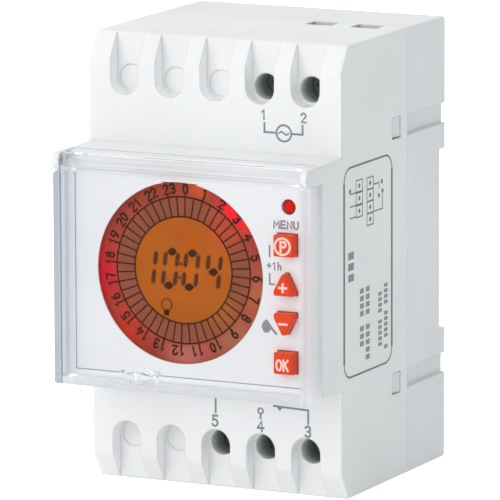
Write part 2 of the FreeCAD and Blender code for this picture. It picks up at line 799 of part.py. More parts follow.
def microcontroller():
    """The flat-pack chip on the rear of the display board, with legs on two sides."""
    face = "display_board_depth"
    body = block(around("chip_across", "chip_width"), (f"{face} - 1.7", f"{face} - 0.2"),
                 around("chip_up", "chip_height"))
    legs = [block(around("chip_across", "chip_width + 3"), (f"{face} - 0.5", face),
                  around(f"(chip_up + {step} * leg_pitch)", "0.5"))
            for step in (-3, -2, -1, 0, 1, 2, 3)]
    return node(fuse(body, *legs), "microcontroller")


def quartz_crystal():
    """The watch crystal in its metal can, lying on the rear of the display board."""
    left, right = around("crystal_across", "crystal_length")
    axis_depth = "display_board_depth - crystal_radius - 0.2"
    can = rod("x", (axis_depth, "crystal_up"), (left, right), "crystal_radius")
    lead_depth = (f"{axis_depth} - 0.2", f"{axis_depth} + 0.2")
    wires = []
    for step in ("- 0.6", "+ 0.6"):
        wire_z = around(f"(crystal_up {step})", "0.4")
        wires.append(block((f"{left} - 3", f"{left} + 0.2"), lead_depth, wire_z))
        wires.append(block((f"{left} - 3", f"{left} - 2.6"), (lead_depth[0], "display_board_depth"),
                           wire_z))
    return node(fuse(can, *wires), "quartz_crystal")


def battery_holder():
    """The shallow cup that holds the back-up cell."""
    at = ("cell_across", "cell_up")
    inside = ("display_board_depth - 3", "display_board_depth - 0.4")
    cup = rod("depth", at, ("display_board_depth - 2.6", "display_board_depth"), "cell_radius + 1.2")
    seat = rod("depth", at, inside, "cell_radius + 0.1")
    gap = block(around("cell_across", "6"), inside, ("cell_up + 5", "cell_up + 11"))
    return node(cut(cup, seat, gap), "battery_holder")


def backup_battery():
    """The coin cell that keeps the clock running."""
    at = ("cell_across", "cell_up")
    front = "display_board_depth - 0.4"
    can = rod("depth", at, (f"{front} - cell_thickness + 0.7", front), "cell_radius")
    cap = rod("depth", at, (f"{front} - cell_thickness", f"{front} - cell_thickness + 0.7"),
              "cell_radius - 1.2")
    return node(fuse(can, cap), "backup_battery")


def ribbon_cable():
    """The flat cable from the display board back to the main board."""
    depth = (f"{MAIN_FACE} + 1.2", "display_board_depth - 1.2")
    wires = [rod("depth", (f"(cable_across + {step} * cable_pitch)", "cable_up"), depth,
                 "cable_pitch / 2 + 0.02")
             for step in (-4, -3, -2, -1, 0, 1, 2, 3, 4)]
    return node(fuse(*wires), "ribbon_cable")


def cable_headers():
    """The two sockets that the flat cable plugs into."""
    sockets = []
    for depth in ((MAIN_FACE, f"{MAIN_FACE} + header_depth"),
                  ("display_board_depth - header_depth", "display_board_depth")):
        shell = block(around("cable_across", "header_width"), depth, around("cable_up", "header_height"))
        slot = block(around("cable_across", "header_width - 2.6"),
                     (f"{MAIN_FACE} + 1.1", "display_board_depth - 1.1"),
                     around("cable_up", "header_height - 1.6"))
        sockets.append(cut(shell, slot))
    return node(group(*sockets), "cable_headers")


# ---------------------------------------------------------------- main board

def main_board():
    """The power board, screwed to the posts of the rear base."""
    board = block(around("0", "main_board_width"), ("main_board_depth", MAIN_FACE),
                  around("0", "main_board_height"))
    holes = [rod("depth", at, ("main_board_depth - 1", f"{MAIN_FACE} + 1"), "board_screw / 2 + 0.15")
             for at in post_places()]
    return node(cut(board, *holes), "main_board")


def board_screws():
    """Four pan-head screws with a cross recess."""
    screws = []
    for x, z in post_places():
        head = rod("depth", (x, z), (MAIN_FACE, f"{MAIN_FACE} + 1.6"), "board_screw")
        shank = rod("depth", (x, z), (f"{MAIN_FACE} - pilot_depth - 0.5", f"{MAIN_FACE} + 0.1"),
                    "board_screw / 2")
        slots = [block(around(x, width), (f"{MAIN_FACE} + 0.8", f"{MAIN_FACE} + 2"), around(z, height))
                 for width, height in (("0.6", "3"), ("3", "0.6"))]
        screws.append(cut(fuse(head, shank), *slots))
    return node(group(*screws), "board_screws")


def relay():
    """The sealed changeover relay with its five pins."""
    case = block(around("relay_across", "relay_width"), (f"{MAIN_FACE} + 0.3", f"{MAIN_FACE} + relay_depth"),
                 around("relay_up", "relay_height"))
    coil_row, contact_row = "- relay_width / 2 + 2", "+ relay_width / 2 - 13"
    row_gap = ("- 3.75", "+ 3.75")
    places = [(across, up) for across in (coil_row, contact_row) for up in row_gap]
    places.append(("+ relay_width / 2 - 3", "+ 0"))
    pins = [block(around(f"(relay_across {across})", "1"), (MAIN_FACE, f"{MAIN_FACE} + 0.5"),
                  around(f"(relay_up {up})", "0.5"))
            for across, up in places]
    return node(fuse(case, *pins), "relay")


def supply_capacitor():
    """The film capacitor that drops the mains voltage, standing on its rims."""
    case = block(around("film_across", "film_width"), (MAIN_FACE, f"{MAIN_FACE} + film_depth"),
                 around("film_up", "film_height"))
    foot = block(around("film_across", "film_width - 4"), (MAIN_FACE, f"{MAIN_FACE} + 0.6"),
                 around("film_up", "film_height + 2"))
    return node(cut(case, foot), "supply_capacitor")


def smoothing_capacitor():
    """The electrolytic can with its rubber foot."""
    at = ("can_across", "can_up")
    can = rod("depth", at, (f"{MAIN_FACE} + 1.4", f"{MAIN_FACE} + can_depth"), "can_radius")
    foot = rod("depth", at, (MAIN_FACE, f"{MAIN_FACE} + 1.6"), "can_radius - 0.5")
    return node(fuse(can, foot), "smoothing_capacitor")


def varistor():
    """The surge-arrester disc on two leads."""
    disc = rod("x", (f"{MAIN_FACE} + disc_radius + 3", "disc_up"), around("disc_across", "disc_thickness"),
               "disc_radius")
    leads = [rod("depth", ("disc_across", f"(disc_up {shift})"), (MAIN_FACE, f"{MAIN_FACE} + 5"), "0.4")
             for shift in ("- 2.5", "+ 2.5")]
    return node(fuse(disc, *leads), "varistor")


# ---------------------------------------------------------------- terminals

def terminal_z(row, low, high):
    """A span in the upper row, or its mirror image in the lower row."""
    return both(low, high)[0 if row == 1 else 1]


def contact_bars():
    """The five flat conductors from the board into the clamps."""
    depth = (MAIN_FACE, f"{MAIN_FACE} + bar_thickness")
    edge = "main_board_height / 2"
    bars = []
    for _, place, row in USED_TERMINALS:
        flat = block(around(slot_x(place), "bar_width"), depth,
                     terminal_z(row, f"{edge} - 1.6", "terminal_height + cage_height / 2 + 0.3"))
        tag = block(around(slot_x(place), "1.6"), depth,
                    terminal_z(row, f"{edge} - 3.2", f"{edge} - 1.4"))
        bars.append(fuse(flat, tag))
    return node(group(*bars), "contact_bars")


def terminal_screw(name, place, row):
    """A captive clamp screw; its head stays behind the hole in the housing."""
    at = (slot_x(place), f"{row} * terminal_height")
    head_front = "cell_front - 0.2"
    head_back = f"{head_front} - screw_head_height"
    head = rod("depth", at, (head_back, head_front), "screw_head / 2")
    shank = rod("depth", at, (f"{head_back} - screw_length", head_front), "screw_thread / 2")
    slots = [block(around(at[0], width), (f"{head_front} - screw_head_height / 2", f"{head_front} + 1"),
                   around(at[1], height))
             for width, height in (("slot_width", "screw_head + 2"), ("screw_thread", "slot_width"))]
    return node(cut(fuse(head, shank), *slots), f"terminal_screw_{name}")


def terminal_cage(name, place, row):
    """The rising clamp: a bent steel box with a threaded front plate."""
    at = (slot_x(place), f"{row} * terminal_height")
    back = "parting_depth - cage_gap"
    front = f"{back} + cage_depth"
    shell = block(around(at[0], "cage_width"), (back, front), around(at[1], "cage_height"))
    room = block(around(at[0], "cage_width - 2 * cage_sheet"),
                 (f"{back} + cage_plate - 0.3", f"{front} - cage_plate"),
                 around(at[1], "cage_height + 2"))
    thread = rod("depth", at, (f"{front} - cage_plate - 1", f"{front} + 1"), "screw_thread / 2 + 0.05")
    return node(cut(shell, room, thread), f"terminal_cage_{name}")


# ---------------------------------------------------------------- rail clip

def din_clip():
    """The sliding foot that hooks behind the rail's lower edge."""
    body = new_body("din_clip")
    top = "-rail_slot / 2 + clip_gap"
    bottom = "-body_height / 2 + 0.4"
    plate = ("-clip_thickness", "0")
    pad(body, "depth", plate, rectangle(around("0", "clip_width"), (bottom, top)))
    pad(body, "depth", ("-clip_thickness", "-rail_lip_gap"),
        rectangle(around("0", "clip_width - 1"), (f"{top} - 1", f"{top} + hook_reach")))
    pad(body, "depth", ("-clip_rail_back", "-clip_rail_back + clip_rail"),
        rectangle(around("0", "clip_width + 2 * clip_rail"), (f"{bottom} + 2", f"{top} - 1.5")))
    # window round the spring and its stop, and a slot for a screwdriver
    pocket(body, "depth", plate,
           rectangle(around("0", "clip_window_width"), ("-clip_window_bottom", "-clip_window_top")),
           rectangle(around("0", "clip_window_width + 0.8"), (f"{bottom} + 1.1", f"{bottom} + 2.5")))
    return body


def clip_spring():
    """The coil spring that pushes the clip up against the rail."""
    end_gap = "0.05"
    length = f"(spring_stop - clip_window_top - spring_wire - 2 * {end_gap})"
    coil_radius = "spring_radius - spring_wire / 2"
    helix = doc.addObject("Part::Helix", "Coil")
    helix.setExpression("Radius", sized(coil_radius))
    helix.setExpression("Height", sized(length))
    helix.setExpression("Pitch", sized(f"{length} / spring_coils"))
    ring = doc.addObject("Part::Circle", "Wire")
    ring.setExpression("Radius", sized("spring_wire / 2"))
    ring.Placement = FreeCAD.Placement(FreeCAD.Vector(), FreeCAD.Rotation(FreeCAD.Vector(1, 0, 0), 90))
    ring.setExpression("Placement.Base.x", sized(coil_radius))
    coil = doc.addObject("Part::Sweep", "Spring")
    coil.Sections = [ring]
    coil.Spine = (helix, ["Edge1"])
    coil.Solid = True
    coil.Frenet = True
    coil.setExpression("Placement.Base.y", sized("clip_thickness / 2"))
    coil.setExpression("Placement.Base.z", sized(f"-spring_stop + spring_wire / 2 + {end_gap}"))
    return node(coil, "clip_spring")


# ---------------------------------------------------------------- assembly

front_housing()
rear_base()
clear_cover()
front_panel()
display_window()
lcd_glass()
lcd_backlight()
zebra_strips()
display_board()
indicator_led()
tact_switches()
microcontroller()
quartz_crystal()
battery_holder()
backup_battery()
ribbon_cable()
cable_headers()
main_board()
board_screws()
relay()
supply_capacitor()
smoothing_capacitor()
varistor()
contact_bars()
din_clip()
clip_spring()
for button_name, button_shape, button_place in BUTTONS:
    button(button_name, button_shape, button_place)
    switch_plunger(button_name, button_place)
for terminal_name, slot_place, slot_row in USED_TERMINALS:
    terminal_screw(terminal_name, slot_place, slot_row)
    terminal_cage(terminal_name, slot_place, slot_row)
doc.recompute()

for item in doc.Objects:
    if "Invalid" in item.State or "Error" in item.State:
        raise ValueError(f"{item.Name} ({item.Label}) is {item.State}")
os.makedirs("parts", exist_ok=True)
for part in nodes:
    if part.Shape.isNull() or not part.Shape.isValid():
        raise ValueError(f"{part.Label} has no valid shape")
    part.Shape.exportStep(f"parts/{part.Label}.step")
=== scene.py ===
import math

import bmesh
import bpy
from mathutils import Matrix, Vector


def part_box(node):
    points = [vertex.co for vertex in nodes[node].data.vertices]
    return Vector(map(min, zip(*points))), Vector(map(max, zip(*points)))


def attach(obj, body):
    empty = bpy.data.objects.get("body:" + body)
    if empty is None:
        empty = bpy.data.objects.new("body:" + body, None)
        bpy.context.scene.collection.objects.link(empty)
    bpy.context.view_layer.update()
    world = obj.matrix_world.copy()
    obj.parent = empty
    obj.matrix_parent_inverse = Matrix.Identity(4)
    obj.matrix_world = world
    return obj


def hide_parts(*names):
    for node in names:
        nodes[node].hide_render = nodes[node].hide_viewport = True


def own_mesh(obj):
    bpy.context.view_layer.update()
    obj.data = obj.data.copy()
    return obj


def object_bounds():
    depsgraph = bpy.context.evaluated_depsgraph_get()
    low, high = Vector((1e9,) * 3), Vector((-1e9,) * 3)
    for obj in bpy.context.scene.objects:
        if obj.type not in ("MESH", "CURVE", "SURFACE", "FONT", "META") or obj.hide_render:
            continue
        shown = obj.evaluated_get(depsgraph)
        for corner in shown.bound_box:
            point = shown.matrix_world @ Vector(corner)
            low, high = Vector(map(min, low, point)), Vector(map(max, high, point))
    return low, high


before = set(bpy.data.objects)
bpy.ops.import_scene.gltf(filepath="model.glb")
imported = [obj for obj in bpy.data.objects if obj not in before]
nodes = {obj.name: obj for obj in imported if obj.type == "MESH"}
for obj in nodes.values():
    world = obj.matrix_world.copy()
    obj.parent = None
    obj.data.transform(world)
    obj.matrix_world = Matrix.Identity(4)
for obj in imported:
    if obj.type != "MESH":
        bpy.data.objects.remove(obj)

# The DIN rail timer's looks.  Everything is in metres in the frame of the CAD model: the
# front faces -Y, X runs to the right and Z up.  MM turns millimetres into metres.

MM = 0.001
cad_low, cad_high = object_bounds()
scene = bpy.context.scene


# ---------------------------------------------------------------- material helpers

def new_material(name):
    """An empty node material and its output node."""
    material = bpy.data.materials.new(name)
    material.use_nodes = True
    tree = material.node_tree
    tree.nodes.clear()
    output = tree.nodes.new("ShaderNodeOutputMaterial")
    return material, tree, output


def add(tree, kind, inputs=None, **settings):
    """A shader node with settings, and inputs given as values or as sockets."""
    node = tree.nodes.new(kind)
    for key, value in settings.items():
        setattr(node, key, value)
    for key, value in (inputs or {}).items():
        if isinstance(value, bpy.types.NodeSocket):
            tree.links.new(value, node.inputs[key])
        else:
            node.inputs[key].default_value = value
    return node


def math_node(tree, operation, first, second=0.0):
    return add(tree, "ShaderNodeMath", {0: first, 1: second}, operation=operation).outputs[0]


def place_of(tree):
    """Object coordinates in millimetres, so that every pattern has a real size."""
    coordinates = add(tree, "ShaderNodeTexCoord").outputs["Object"]
    return add(tree, "ShaderNodeVectorMath", {0: coordinates, "Scale": 1 / MM},
               operation="SCALE").outputs[0]


def noise(tree, place, scale, detail=3.0):
    """Noise with a scale in cycles per millimetre."""
    return add(tree, "ShaderNodeTexNoise",
               {"Vector": place, "Scale": scale, "Detail": detail, "Roughness": 0.55}).outputs["Fac"]


def ramp(tree, value, low, high, low_colour, high_colour):
    """Two colours spread between two values."""
    node = add(tree, "ShaderNodeValToRGB", {"Fac": value})
    node.color_ramp.elements[0].position = low
    node.color_ramp.elements[0].color = low_colour
    node.color_ramp.elements[1].position = high
    node.color_ramp.elements[1].color = high_colour
    return node.outputs["Color"]


def rgba(colour, factor=1.0):
    return (*[min(1.0, part * factor) for part in colour], 1.0)


def blend(tree, share, first, second, blend_type="MIX"):
    """Two colours mixed by a share of the second."""
    return add(tree, "ShaderNodeMix", {"Factor": share, "A": first, "B": second},
               data_type="RGBA", blend_type=blend_type).outputs["Result"]


def edge_wear(tree, radius):
    """A mask that rises along sharp edges, and the normal that rounds them; the radius is in mm."""
    bevel = add(tree, "ShaderNodeBevel", {"Radius": radius * MM}, samples=6)
    geometry = add(tree, "ShaderNodeNewGeometry")
    dot = add(tree, "ShaderNodeVectorMath", {0: bevel.outputs[0], 1: geometry.outputs["Normal"]},
              operation="DOT_PRODUCT").outputs["Value"]
    return math_node(tree, "SUBTRACT", 1.0, dot), bevel.outputs[0]


def inside_box(tree, place, low, high, soft=0.0):
    """1 for places inside a box in millimetres and 0 outside it, rising over soft mm along Y."""
    parts = add(tree, "ShaderNodeSeparateXYZ", {0: place})
    inside = 1.0
    for axis, bottom, top in zip("XYZ", low, high):
        above = math_node(tree, "GREATER_THAN", parts.outputs[axis], bottom)
        below = math_node(tree, "LESS_THAN", parts.outputs[axis], top)
        inside = math_node(tree, "MULTIPLY", inside, math_node(tree, "MULTIPLY", above, below))
    if soft:
        rise = add(tree, "ShaderNodeMapRange", {
            "Value": parts.outputs["Y"], "From Min": low[1], "From Max": low[1] + soft}).outputs[0]
        inside = math_node(tree, "MULTIPLY", inside, rise)
    return inside


def plastic(name, colour, roughness=0.4, grain=3.0, grain_depth=0.02, tone=0.03, edge_lift=0.06,
            round_radius=0.25, subsurface=0.0, coat=0.0, shine=0.5, painted_shade_box=None, bright=None):
    """Moulded plastic: spark-eroded grain, slow tone variation, softened edges that are also lighter in
    colour along sharp edges.  The shade box is a box in millimetres, inside which faces are darkened with
    painted shade, as unlit wells are.  Bright is a box and a colour of painted light, which the faces in
    the box that look towards +X take, as painted bounce light."""
    material, tree, output = new_material(name)
    place = place_of(tree)
    cloudy = noise(tree, place, 0.05)
    base = ramp(tree, cloudy, 0.3, 0.7, rgba(colour, 1 - tone), rgba(colour, 1 + tone))
    edge_mask, rounded = edge_wear(tree, round_radius)
    # the colour is lighter along sharp edges, towards 1.25 times the base colour
    lifted_edges = math_node(tree, "MULTIPLY", edge_mask, edge_lift * 10)
    surface = blend(tree, lifted_edges, base, rgba(colour, 1.25))
    # painted shade: inside the box, faces are darkened towards a dark grey-green, standing in for the unlit
    # inside of the casing
    if painted_shade_box:
        surface = blend(tree, inside_box(tree, place, *painted_shade_box, soft=3.0), surface, rgba((0.36, 0.40, 0.35)))
    # painted light: faces in the box that look towards +X take a lighter colour, standing in for bounce
    # light from the opposite walls
    if bright:
        low, high, painted_light_colour = bright
        normal = add(tree, "ShaderNodeNewGeometry").outputs["Normal"]
        across = add(tree, "ShaderNodeSeparateXYZ", {0: normal}).outputs["X"]
        toward = add(tree, "ShaderNodeMapRange",
                     {"Value": across, "From Min": 0.1, "From Max": 0.5}).outputs[0]
        mask = math_node(tree, "MULTIPLY", toward, inside_box(tree, place, low, high))
        surface = blend(tree, mask, surface, rgba(painted_light_colour))
    fine = noise(tree, place, grain, detail=4.0)
    blotch = noise(tree, place, 0.35)
    rough = add(tree, "ShaderNodeMapRange", {
        "Value": blotch, "To Min": roughness - 0.06, "To Max": roughness + 0.08}).outputs[0]
    bump = add(tree, "ShaderNodeBump", {
        "Height": fine, "Distance": grain_depth * MM, "Strength": 0.5, "Normal": rounded})
    shader = add(tree, "ShaderNodeBsdfPrincipled", {
        "Base Color": surface, "Roughness": rough, "Normal": bump.outputs[0],
        "Subsurface Weight": subsurface, "Subsurface Scale": 0.6 * MM,
        "Coat Weight": coat, "Coat Roughness": 0.15, "Specular IOR Level": shine, "IOR": 1.49})
    tree.links.new(shader.outputs[0], output.inputs["Surface"])
    return material


def metal(name, colour, roughness=0.3, stretch=(1.0, 1.0, 1.0)):
    """Plated metal with fine scratches, drawn out by the stretch, and darker spots."""
    material, tree, output = new_material(name)
    place = place_of(tree)
    stretched = add(tree, "ShaderNodeVectorMath", {0: place, 1: stretch}, operation="MULTIPLY").outputs[0]
    lines = noise(tree, stretched, 6.0, detail=5.0)
    spots = noise(tree, place, 0.6)
    base = ramp(tree, spots, 0.35, 0.7, rgba(colour, 0.82), rgba(colour, 1.05))
    rough = add(tree, "ShaderNodeMapRange", {
        "Value": lines, "To Min": roughness - 0.1, "To Max": roughness + 0.15}).outputs[0]
    _, rounded = edge_wear(tree, 0.12)
    bump = add(tree, "ShaderNodeBump", {
        "Height": lines, "Distance": 0.01 * MM, "Strength": 0.4, "Normal": rounded})
    shader = add(tree, "ShaderNodeBsdfPrincipled", {
        "Base Color": base, "Metallic": 1.0, "Roughness": rough, "Normal": bump.outputs[0]})
    tree.links.new(shader.outputs[0], output.inputs["Surface"])
    return material


def clear(name, colour, edge_colour, reflection, bend=1.45, zones=(), haze=0.0, milky=(), ripple=None):
    """Polished clear plastic that bends light, with a tint where it is seen edge on.  Zones are boxes in
    millimetres painted with a colour of their own, a painted shade that stands in for a wall seen edge on
    through the plastic; haze whitens the faces that look sideways, milky boxes whiten every face in them
    and the ripple box has a wavy surface.  Shadow rays, and rays that have already crossed several faces,
    pass straight through it."""
    material, tree, output = new_material(name)
    facing = add(tree, "ShaderNodeLayerWeight", {"Blend": 0.5}).outputs["Facing"]
    smear = noise(tree, place_of(tree), 0.12)
    tint = ramp(tree, facing, 0.25, 0.95, rgba(colour), rgba(edge_colour))
    # painted shade: each zone's box takes its own darker, bluer colour
    for low, high, painted_colour in zones:
        tint = blend(tree, inside_box(tree, place_of(tree), low, high), tint, rgba(painted_colour))
    fresnel = add(tree, "ShaderNodeFresnel", {"IOR": 1.45}).outputs[0]
    total = add(tree, "ShaderNodeMapRange", {
        "Value": fresnel, "From Min": 0.3, "From Max": 0.9, "To Min": reflection, "To Max": 1.0},
        interpolation_type="SMOOTHSTEP").outputs[0]
    rough = add(tree, "ShaderNodeMapRange", {"Value": smear, "To Min": 0.0, "To Max": 0.06}).outputs[0]
    bent = add(tree, "ShaderNodeBsdfRefraction", {"Color": tint, "IOR": bend, "Roughness": 0.0})
    if ripple:
        waves = noise(tree, place_of(tree), 0.75, detail=1.0)
        within = inside_box(tree, place_of(tree), *ripple)
        wavy = add(tree, "ShaderNodeBump", {"Height": waves, "Distance": 0.6 * MM, "Strength": within})
        tree.links.new(wavy.outputs[0], bent.inputs["Normal"])
    mirror = add(tree, "ShaderNodeBsdfAnisotropic", {"Color": rgba((1, 1, 1)), "Roughness": rough})
    mirror_share = math_node(tree, "MULTIPLY", fresnel, total)
    glass = add(tree, "ShaderNodeMixShader", {0: mirror_share, 1: bent.outputs[0], 2: mirror.outputs[0]})
    if haze:
        normal = add(tree, "ShaderNodeNewGeometry").outputs["Normal"]
        ahead = add(tree, "ShaderNodeSeparateXYZ", {0: normal}).outputs["Y"]
        sideways = math_node(tree, "SUBTRACT", 1.0, math_node(tree, "ABSOLUTE", ahead))
        veil = math_node(tree, "MULTIPLY", sideways, haze)
        for low, high, strength in milky:
            inside = inside_box(tree, place_of(tree), low, high)
            veil = math_node(tree, "MAXIMUM", veil, math_node(tree, "MULTIPLY", inside, strength))
        white_veil = add(tree, "ShaderNodeBsdfTranslucent", {"Color": tint})
        glass = add(tree, "ShaderNodeMixShader", {0: veil, 1: glass.outputs[0], 2: white_veil.outputs[0]})
    through = add(tree, "ShaderNodeBsdfTransparent", {"Color": tint})
    light_path = add(tree, "ShaderNodeLightPath")
    passing = math_node(tree, "MAXIMUM", light_path.outputs["Is Shadow Ray"],
                        light_path.outputs["Is Diffuse Ray"])
    for depth, limit in (("Transmission Depth", 3.5), ("Glossy Depth", 1.5), ("Ray Depth", 4.5)):
        deep = math_node(tree, "GREATER_THAN", light_path.outputs[depth], limit)
        passing = math_node(tree, "MAXIMUM", passing, deep)
    mix = add(tree, "ShaderNodeMixShader", {0: passing, 1: glass.outputs[0], 2: through.outputs[0]})
    tree.links.new(mix.outputs[0], output.inputs["Surface"])
    return material


def ink(name, colour, shine=0.5):
    """Pad-printed ink: slightly uneven cover."""
    material, tree, output = new_material(name)
    place = place_of(tree)
    patchy = noise(tree, place, 4.0, detail=5.0)
    base = ramp(tree, patchy, 0.3, 0.7, rgba(colour, 0.85), rgba(colour, 1.15))
    bump = add(tree, "ShaderNodeBump", {"Height": patchy, "Distance": 0.01 * MM, "Strength": 0.3})
    shader = add(tree, "ShaderNodeBsdfPrincipled", {
        "Base Color": base, "Roughness": 0.55, "Specular IOR Level": shine, "Normal": bump.outputs[0]})
    tree.links.new(shader.outputs[0], output.inputs["Surface"])
    return material


# ---------------------------------------------------------------- mesh helpers

class Sheet:
    """A flat drawing surface: an origin and the directions of its across, up and outward axes."""

    def __init__(self, origin, across, up):
        self.origin = Vector(origin)
        self.across = Vector(across)
        self.up = Vector(up)
        self.out = self.across.cross(self.up)

    def point(self, across, up, out):
        """A place given in millimetres on the sheet, in metres in the frame."""
        return self.origin + MM * (across * self.across + up * self.up + out * self.out)


def arc(x, y, across, up, start, end):
    """Points along an ellipse between two angles in degrees."""
    steps = max(4, int(abs(end - start) / 24))
    angles = [math.radians(start + (end - start) * i / steps) for i in range(steps + 1)]
    return [(x + across * math.cos(a), y + up * math.sin(a)) for a in angles]


SIX = (arc(0.0, -0.2, 0.27, 0.3, 0, 360), arc(0.27, -0.2, 0.54, 0.7, 105, 180))
SIGNS = {                         # strokes of each sign in a box one unit high, centred on the origin
    "0": (arc(0, 0, 0.27, 0.5, 0, 360),),
    "1": ([(-0.16, 0.28), (0.06, 0.5), (0.06, -0.5)],),
    "2": (arc(0, 0.22, 0.27, 0.28, 165, -20) + [(-0.27, -0.5), (0.28, -0.5)],),
    "3": (arc(0, 0.24, 0.25, 0.26, 150, -90), arc(0, -0.24, 0.27, 0.26, 90, -150)),
    "4": ([(0.12, -0.5), (0.12, 0.5), (-0.3, -0.2)], [(-0.3, -0.2), (0.3, -0.2)]),
    "5": ([(0.24, 0.5), (-0.2, 0.5)] + arc(-0.02, -0.18, 0.29, 0.32, 135, -150),),
    "6": SIX,
    "7": ([(-0.27, 0.5), (0.27, 0.5), (-0.05, -0.5)],),
    "8": (arc(0, 0.25, 0.22, 0.25, 0, 360), arc(0, -0.24, 0.27, 0.26, 0, 360)),
    "9": [[(-x, -y) for x, y in line] for line in SIX],
    "+": ([(-0.28, 0), (0.28, 0)], [(0, -0.28), (0, 0.28)]),
    "h": ([(-0.22, 0.5), (-0.22, -0.5)], arc(0.0, -0.14, 0.22, 0.24, 180, 0) + [(0.22, -0.5)]),
    "E": ([(0.25, 0.5), (-0.25, 0.5), (-0.25, -0.5), (0.25, -0.5)], [(-0.25, 0), (0.18, 0)]),
    "K": ([(-0.25, 0.5), (-0.25, -0.5)], [(0.28, 0.5), (-0.22, -0.02)], [(-0.08, 0.1), (0.3, -0.5)]),
    "M": ([(-0.34, -0.5), (-0.3, 0.5), (0, -0.15), (0.3, 0.5), (0.34, -0.5)],),
    "N": ([(-0.28, -0.5), (-0.28, 0.5), (0.28, -0.5), (0.28, 0.5)],),
    "O": (arc(0, 0, 0.32, 0.5, 0, 360),),
    "P": ([(-0.25, -0.5), (-0.25, 0.5)],
          [(-0.25, 0.5)] + arc(0.05, 0.24, 0.22, 0.26, 90, -90) + [(-0.25, -0.02)]),
    "U": ([(-0.28, 0.5)] + arc(0, -0.18, 0.28, 0.32, 180, 360) + [(0.28, 0.5)],),
}


class Drawing:
    """Thin solid shapes gathered on one sheet, between two heights in mm above it, as one piece."""

    def __init__(self, sheet, low, high):
        self.sheet, self.low, self.high = sheet, low, high
        self.mesh = bmesh.new()
        self.lines = 0

    def outline(self, points):
        """A flat plate with the given outline, anticlockwise, in millimetres."""
        lower = [self.mesh.verts.new(self.sheet.point(*point, self.low)) for point in points]
        upper = [self.mesh.verts.new(self.sheet.point(*point, self.high)) for point in points]
        self.mesh.faces.new(upper)
        self.mesh.faces.new(list(reversed(lower)))
        count = len(points)
        for i in range(count):
            j = (i + 1) % count
            self.mesh.faces.new((lower[i], lower[j], upper[j], upper[i]))

    def stroke(self, start, end, width):
        """A straight line of even width with square ends."""
        a, b = Vector(start), Vector(end)
        inset = (b - a).normalized() * width / 2
        self.path([tuple(a + inset), tuple(b - inset)], width)

    def path(self, points, width):
        """A bent line of even width with mitred corners, half a width past its ends unless it is closed.
        Each line is a hair taller than the one before, so that crossing lines do not share a face."""
        spots = [Vector(point) for point in points]
        closed = (spots[0] - spots[-1]).length < 1e-6
        if closed:
            spots.pop()
        else:
            spots[0] -= (spots[1] - spots[0]).normalized() * width / 2
            spots[-1] += (spots[-1] - spots[-2]).normalized() * width / 2
        self.lines += 1
        top = self.high + self.lines % 5 * 0.1 * (self.high - self.low)
        count = len(spots)
        rows = []
        for i, spot in enumerate(spots):
            legs = []
            if closed or i:
                legs.append((spot - spots[i - 1]).normalized())
            if closed or i < count - 1:
                legs.append((spots[(i + 1) % count] - spot).normalized())
            along = sum(legs, Vector((0, 0))).normalized()
            side = Vector((-along.y, along.x)) * width / 2 / max(0.7, along.dot(legs[0]))
            near, far = spot - side, spot + side
            corners = ((near, self.low), (far, self.low), (far, top), (near, top))
            rows.append([self.mesh.verts.new(self.sheet.point(*place, out)) for place, out in corners])
        for i in range(count if closed else count - 1):
            here, there = rows[i], rows[(i + 1) % count]
            for j in range(4):
                self.mesh.faces.new((here[j], there[j], there[(j + 1) % 4], here[(j + 1) % 4]))
        if not closed:
            self.mesh.faces.new(rows[0])
            self.mesh.faces.new(list(reversed(rows[-1])))

    def sector(self, centre, inner, outer, start, end, steps):
        """A piece of a ring between two angles in radians."""
        angles = [start + (end - start) * i / steps for i in range(steps + 1)]

        def along(radius, turns):
            return [(centre[0] + radius * math.cos(a), centre[1] + radius * math.sin(a)) for a in turns]

        self.outline(along(outer, angles) + along(inner, reversed(angles)))

    def ring(self, centre, inner, outer, steps=96):
        for half in range(2):
            self.sector(centre, inner, outer, half * math.pi, (half + 1) * math.pi, steps // 2)

    def disc(self, centre, radius):
        steps = 20
        turn = 2 * math.pi / steps
        self.outline([(centre[0] + radius * math.cos(i * turn), centre[1] + radius * math.sin(i * turn))
                      for i in range(steps)])

    def text(self, words, centre, height, turn=0.0, weight=0.15, squeeze=1.0):
        """Generic lettering in plain strokes, centred on a point; height is that of a capital letter."""
        advance = 0.86 * squeeze * height
        start = -advance * (len(words) - 1) / 2
        cos, sin = math.cos(turn), math.sin(turn)
        for place, sign in enumerate(words):
            for line in SIGNS[sign]:
                spots = [(start + place * advance + x * squeeze * height, y * height) for x, y in line]
                turned = [(centre[0] + x * cos - y * sin, centre[1] + x * sin + y * cos) for x, y in spots]
                self.path(turned, weight * height)

    def finish(self, name, material, body):
        bmesh.ops.recalc_face_normals(self.mesh, faces=self.mesh.faces)
        return finish_mesh(self.mesh, name, material, body)


def finish_mesh(mesh, name, material, body):
    data = bpy.data.meshes.new(name)
    mesh.to_mesh(data)
    mesh.free()
    piece = bpy.data.objects.new(name, data)
    scene.collection.objects.link(piece)
    data.materials.append(material)
    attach(piece, body)
    return piece


# ---------------------------------------------------------------- measures from the CAD model

ACROSS, BACK, UP = (1, 0, 0), (0, 1, 0), (0, 0, 1)
panel_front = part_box("front_panel")[0].y
glass_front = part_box("lcd_glass")[0].y
right_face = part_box("front_housing")[1].x
window_low, window_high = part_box("display_window")
window_centre = (window_low + window_high) / 2
window_radius = (window_high.x - window_low.x) / 2 / MM
SHOULDER_FACE = -44.0             # y of the front face of the terminal shoulders, mm
DIAL_RIGHT, DIAL_UP = 0.33, 0.5   # how far the dial's centre stands off the window's, mm
FILM = 0.02                       # thickness of printed ink, mm

panel_sheet = Sheet((0, panel_front, 0), ACROSS, UP)
shoulder_sheet = Sheet((0, SHOULDER_FACE * MM, 0), ACROSS, UP)
side_sheet = Sheet((right_face, 0, 0), BACK, UP)
dial_sheet = Sheet((window_centre.x + DIAL_RIGHT * MM, glass_front, window_centre.z + DIAL_UP * MM),
                   ACROSS, UP)
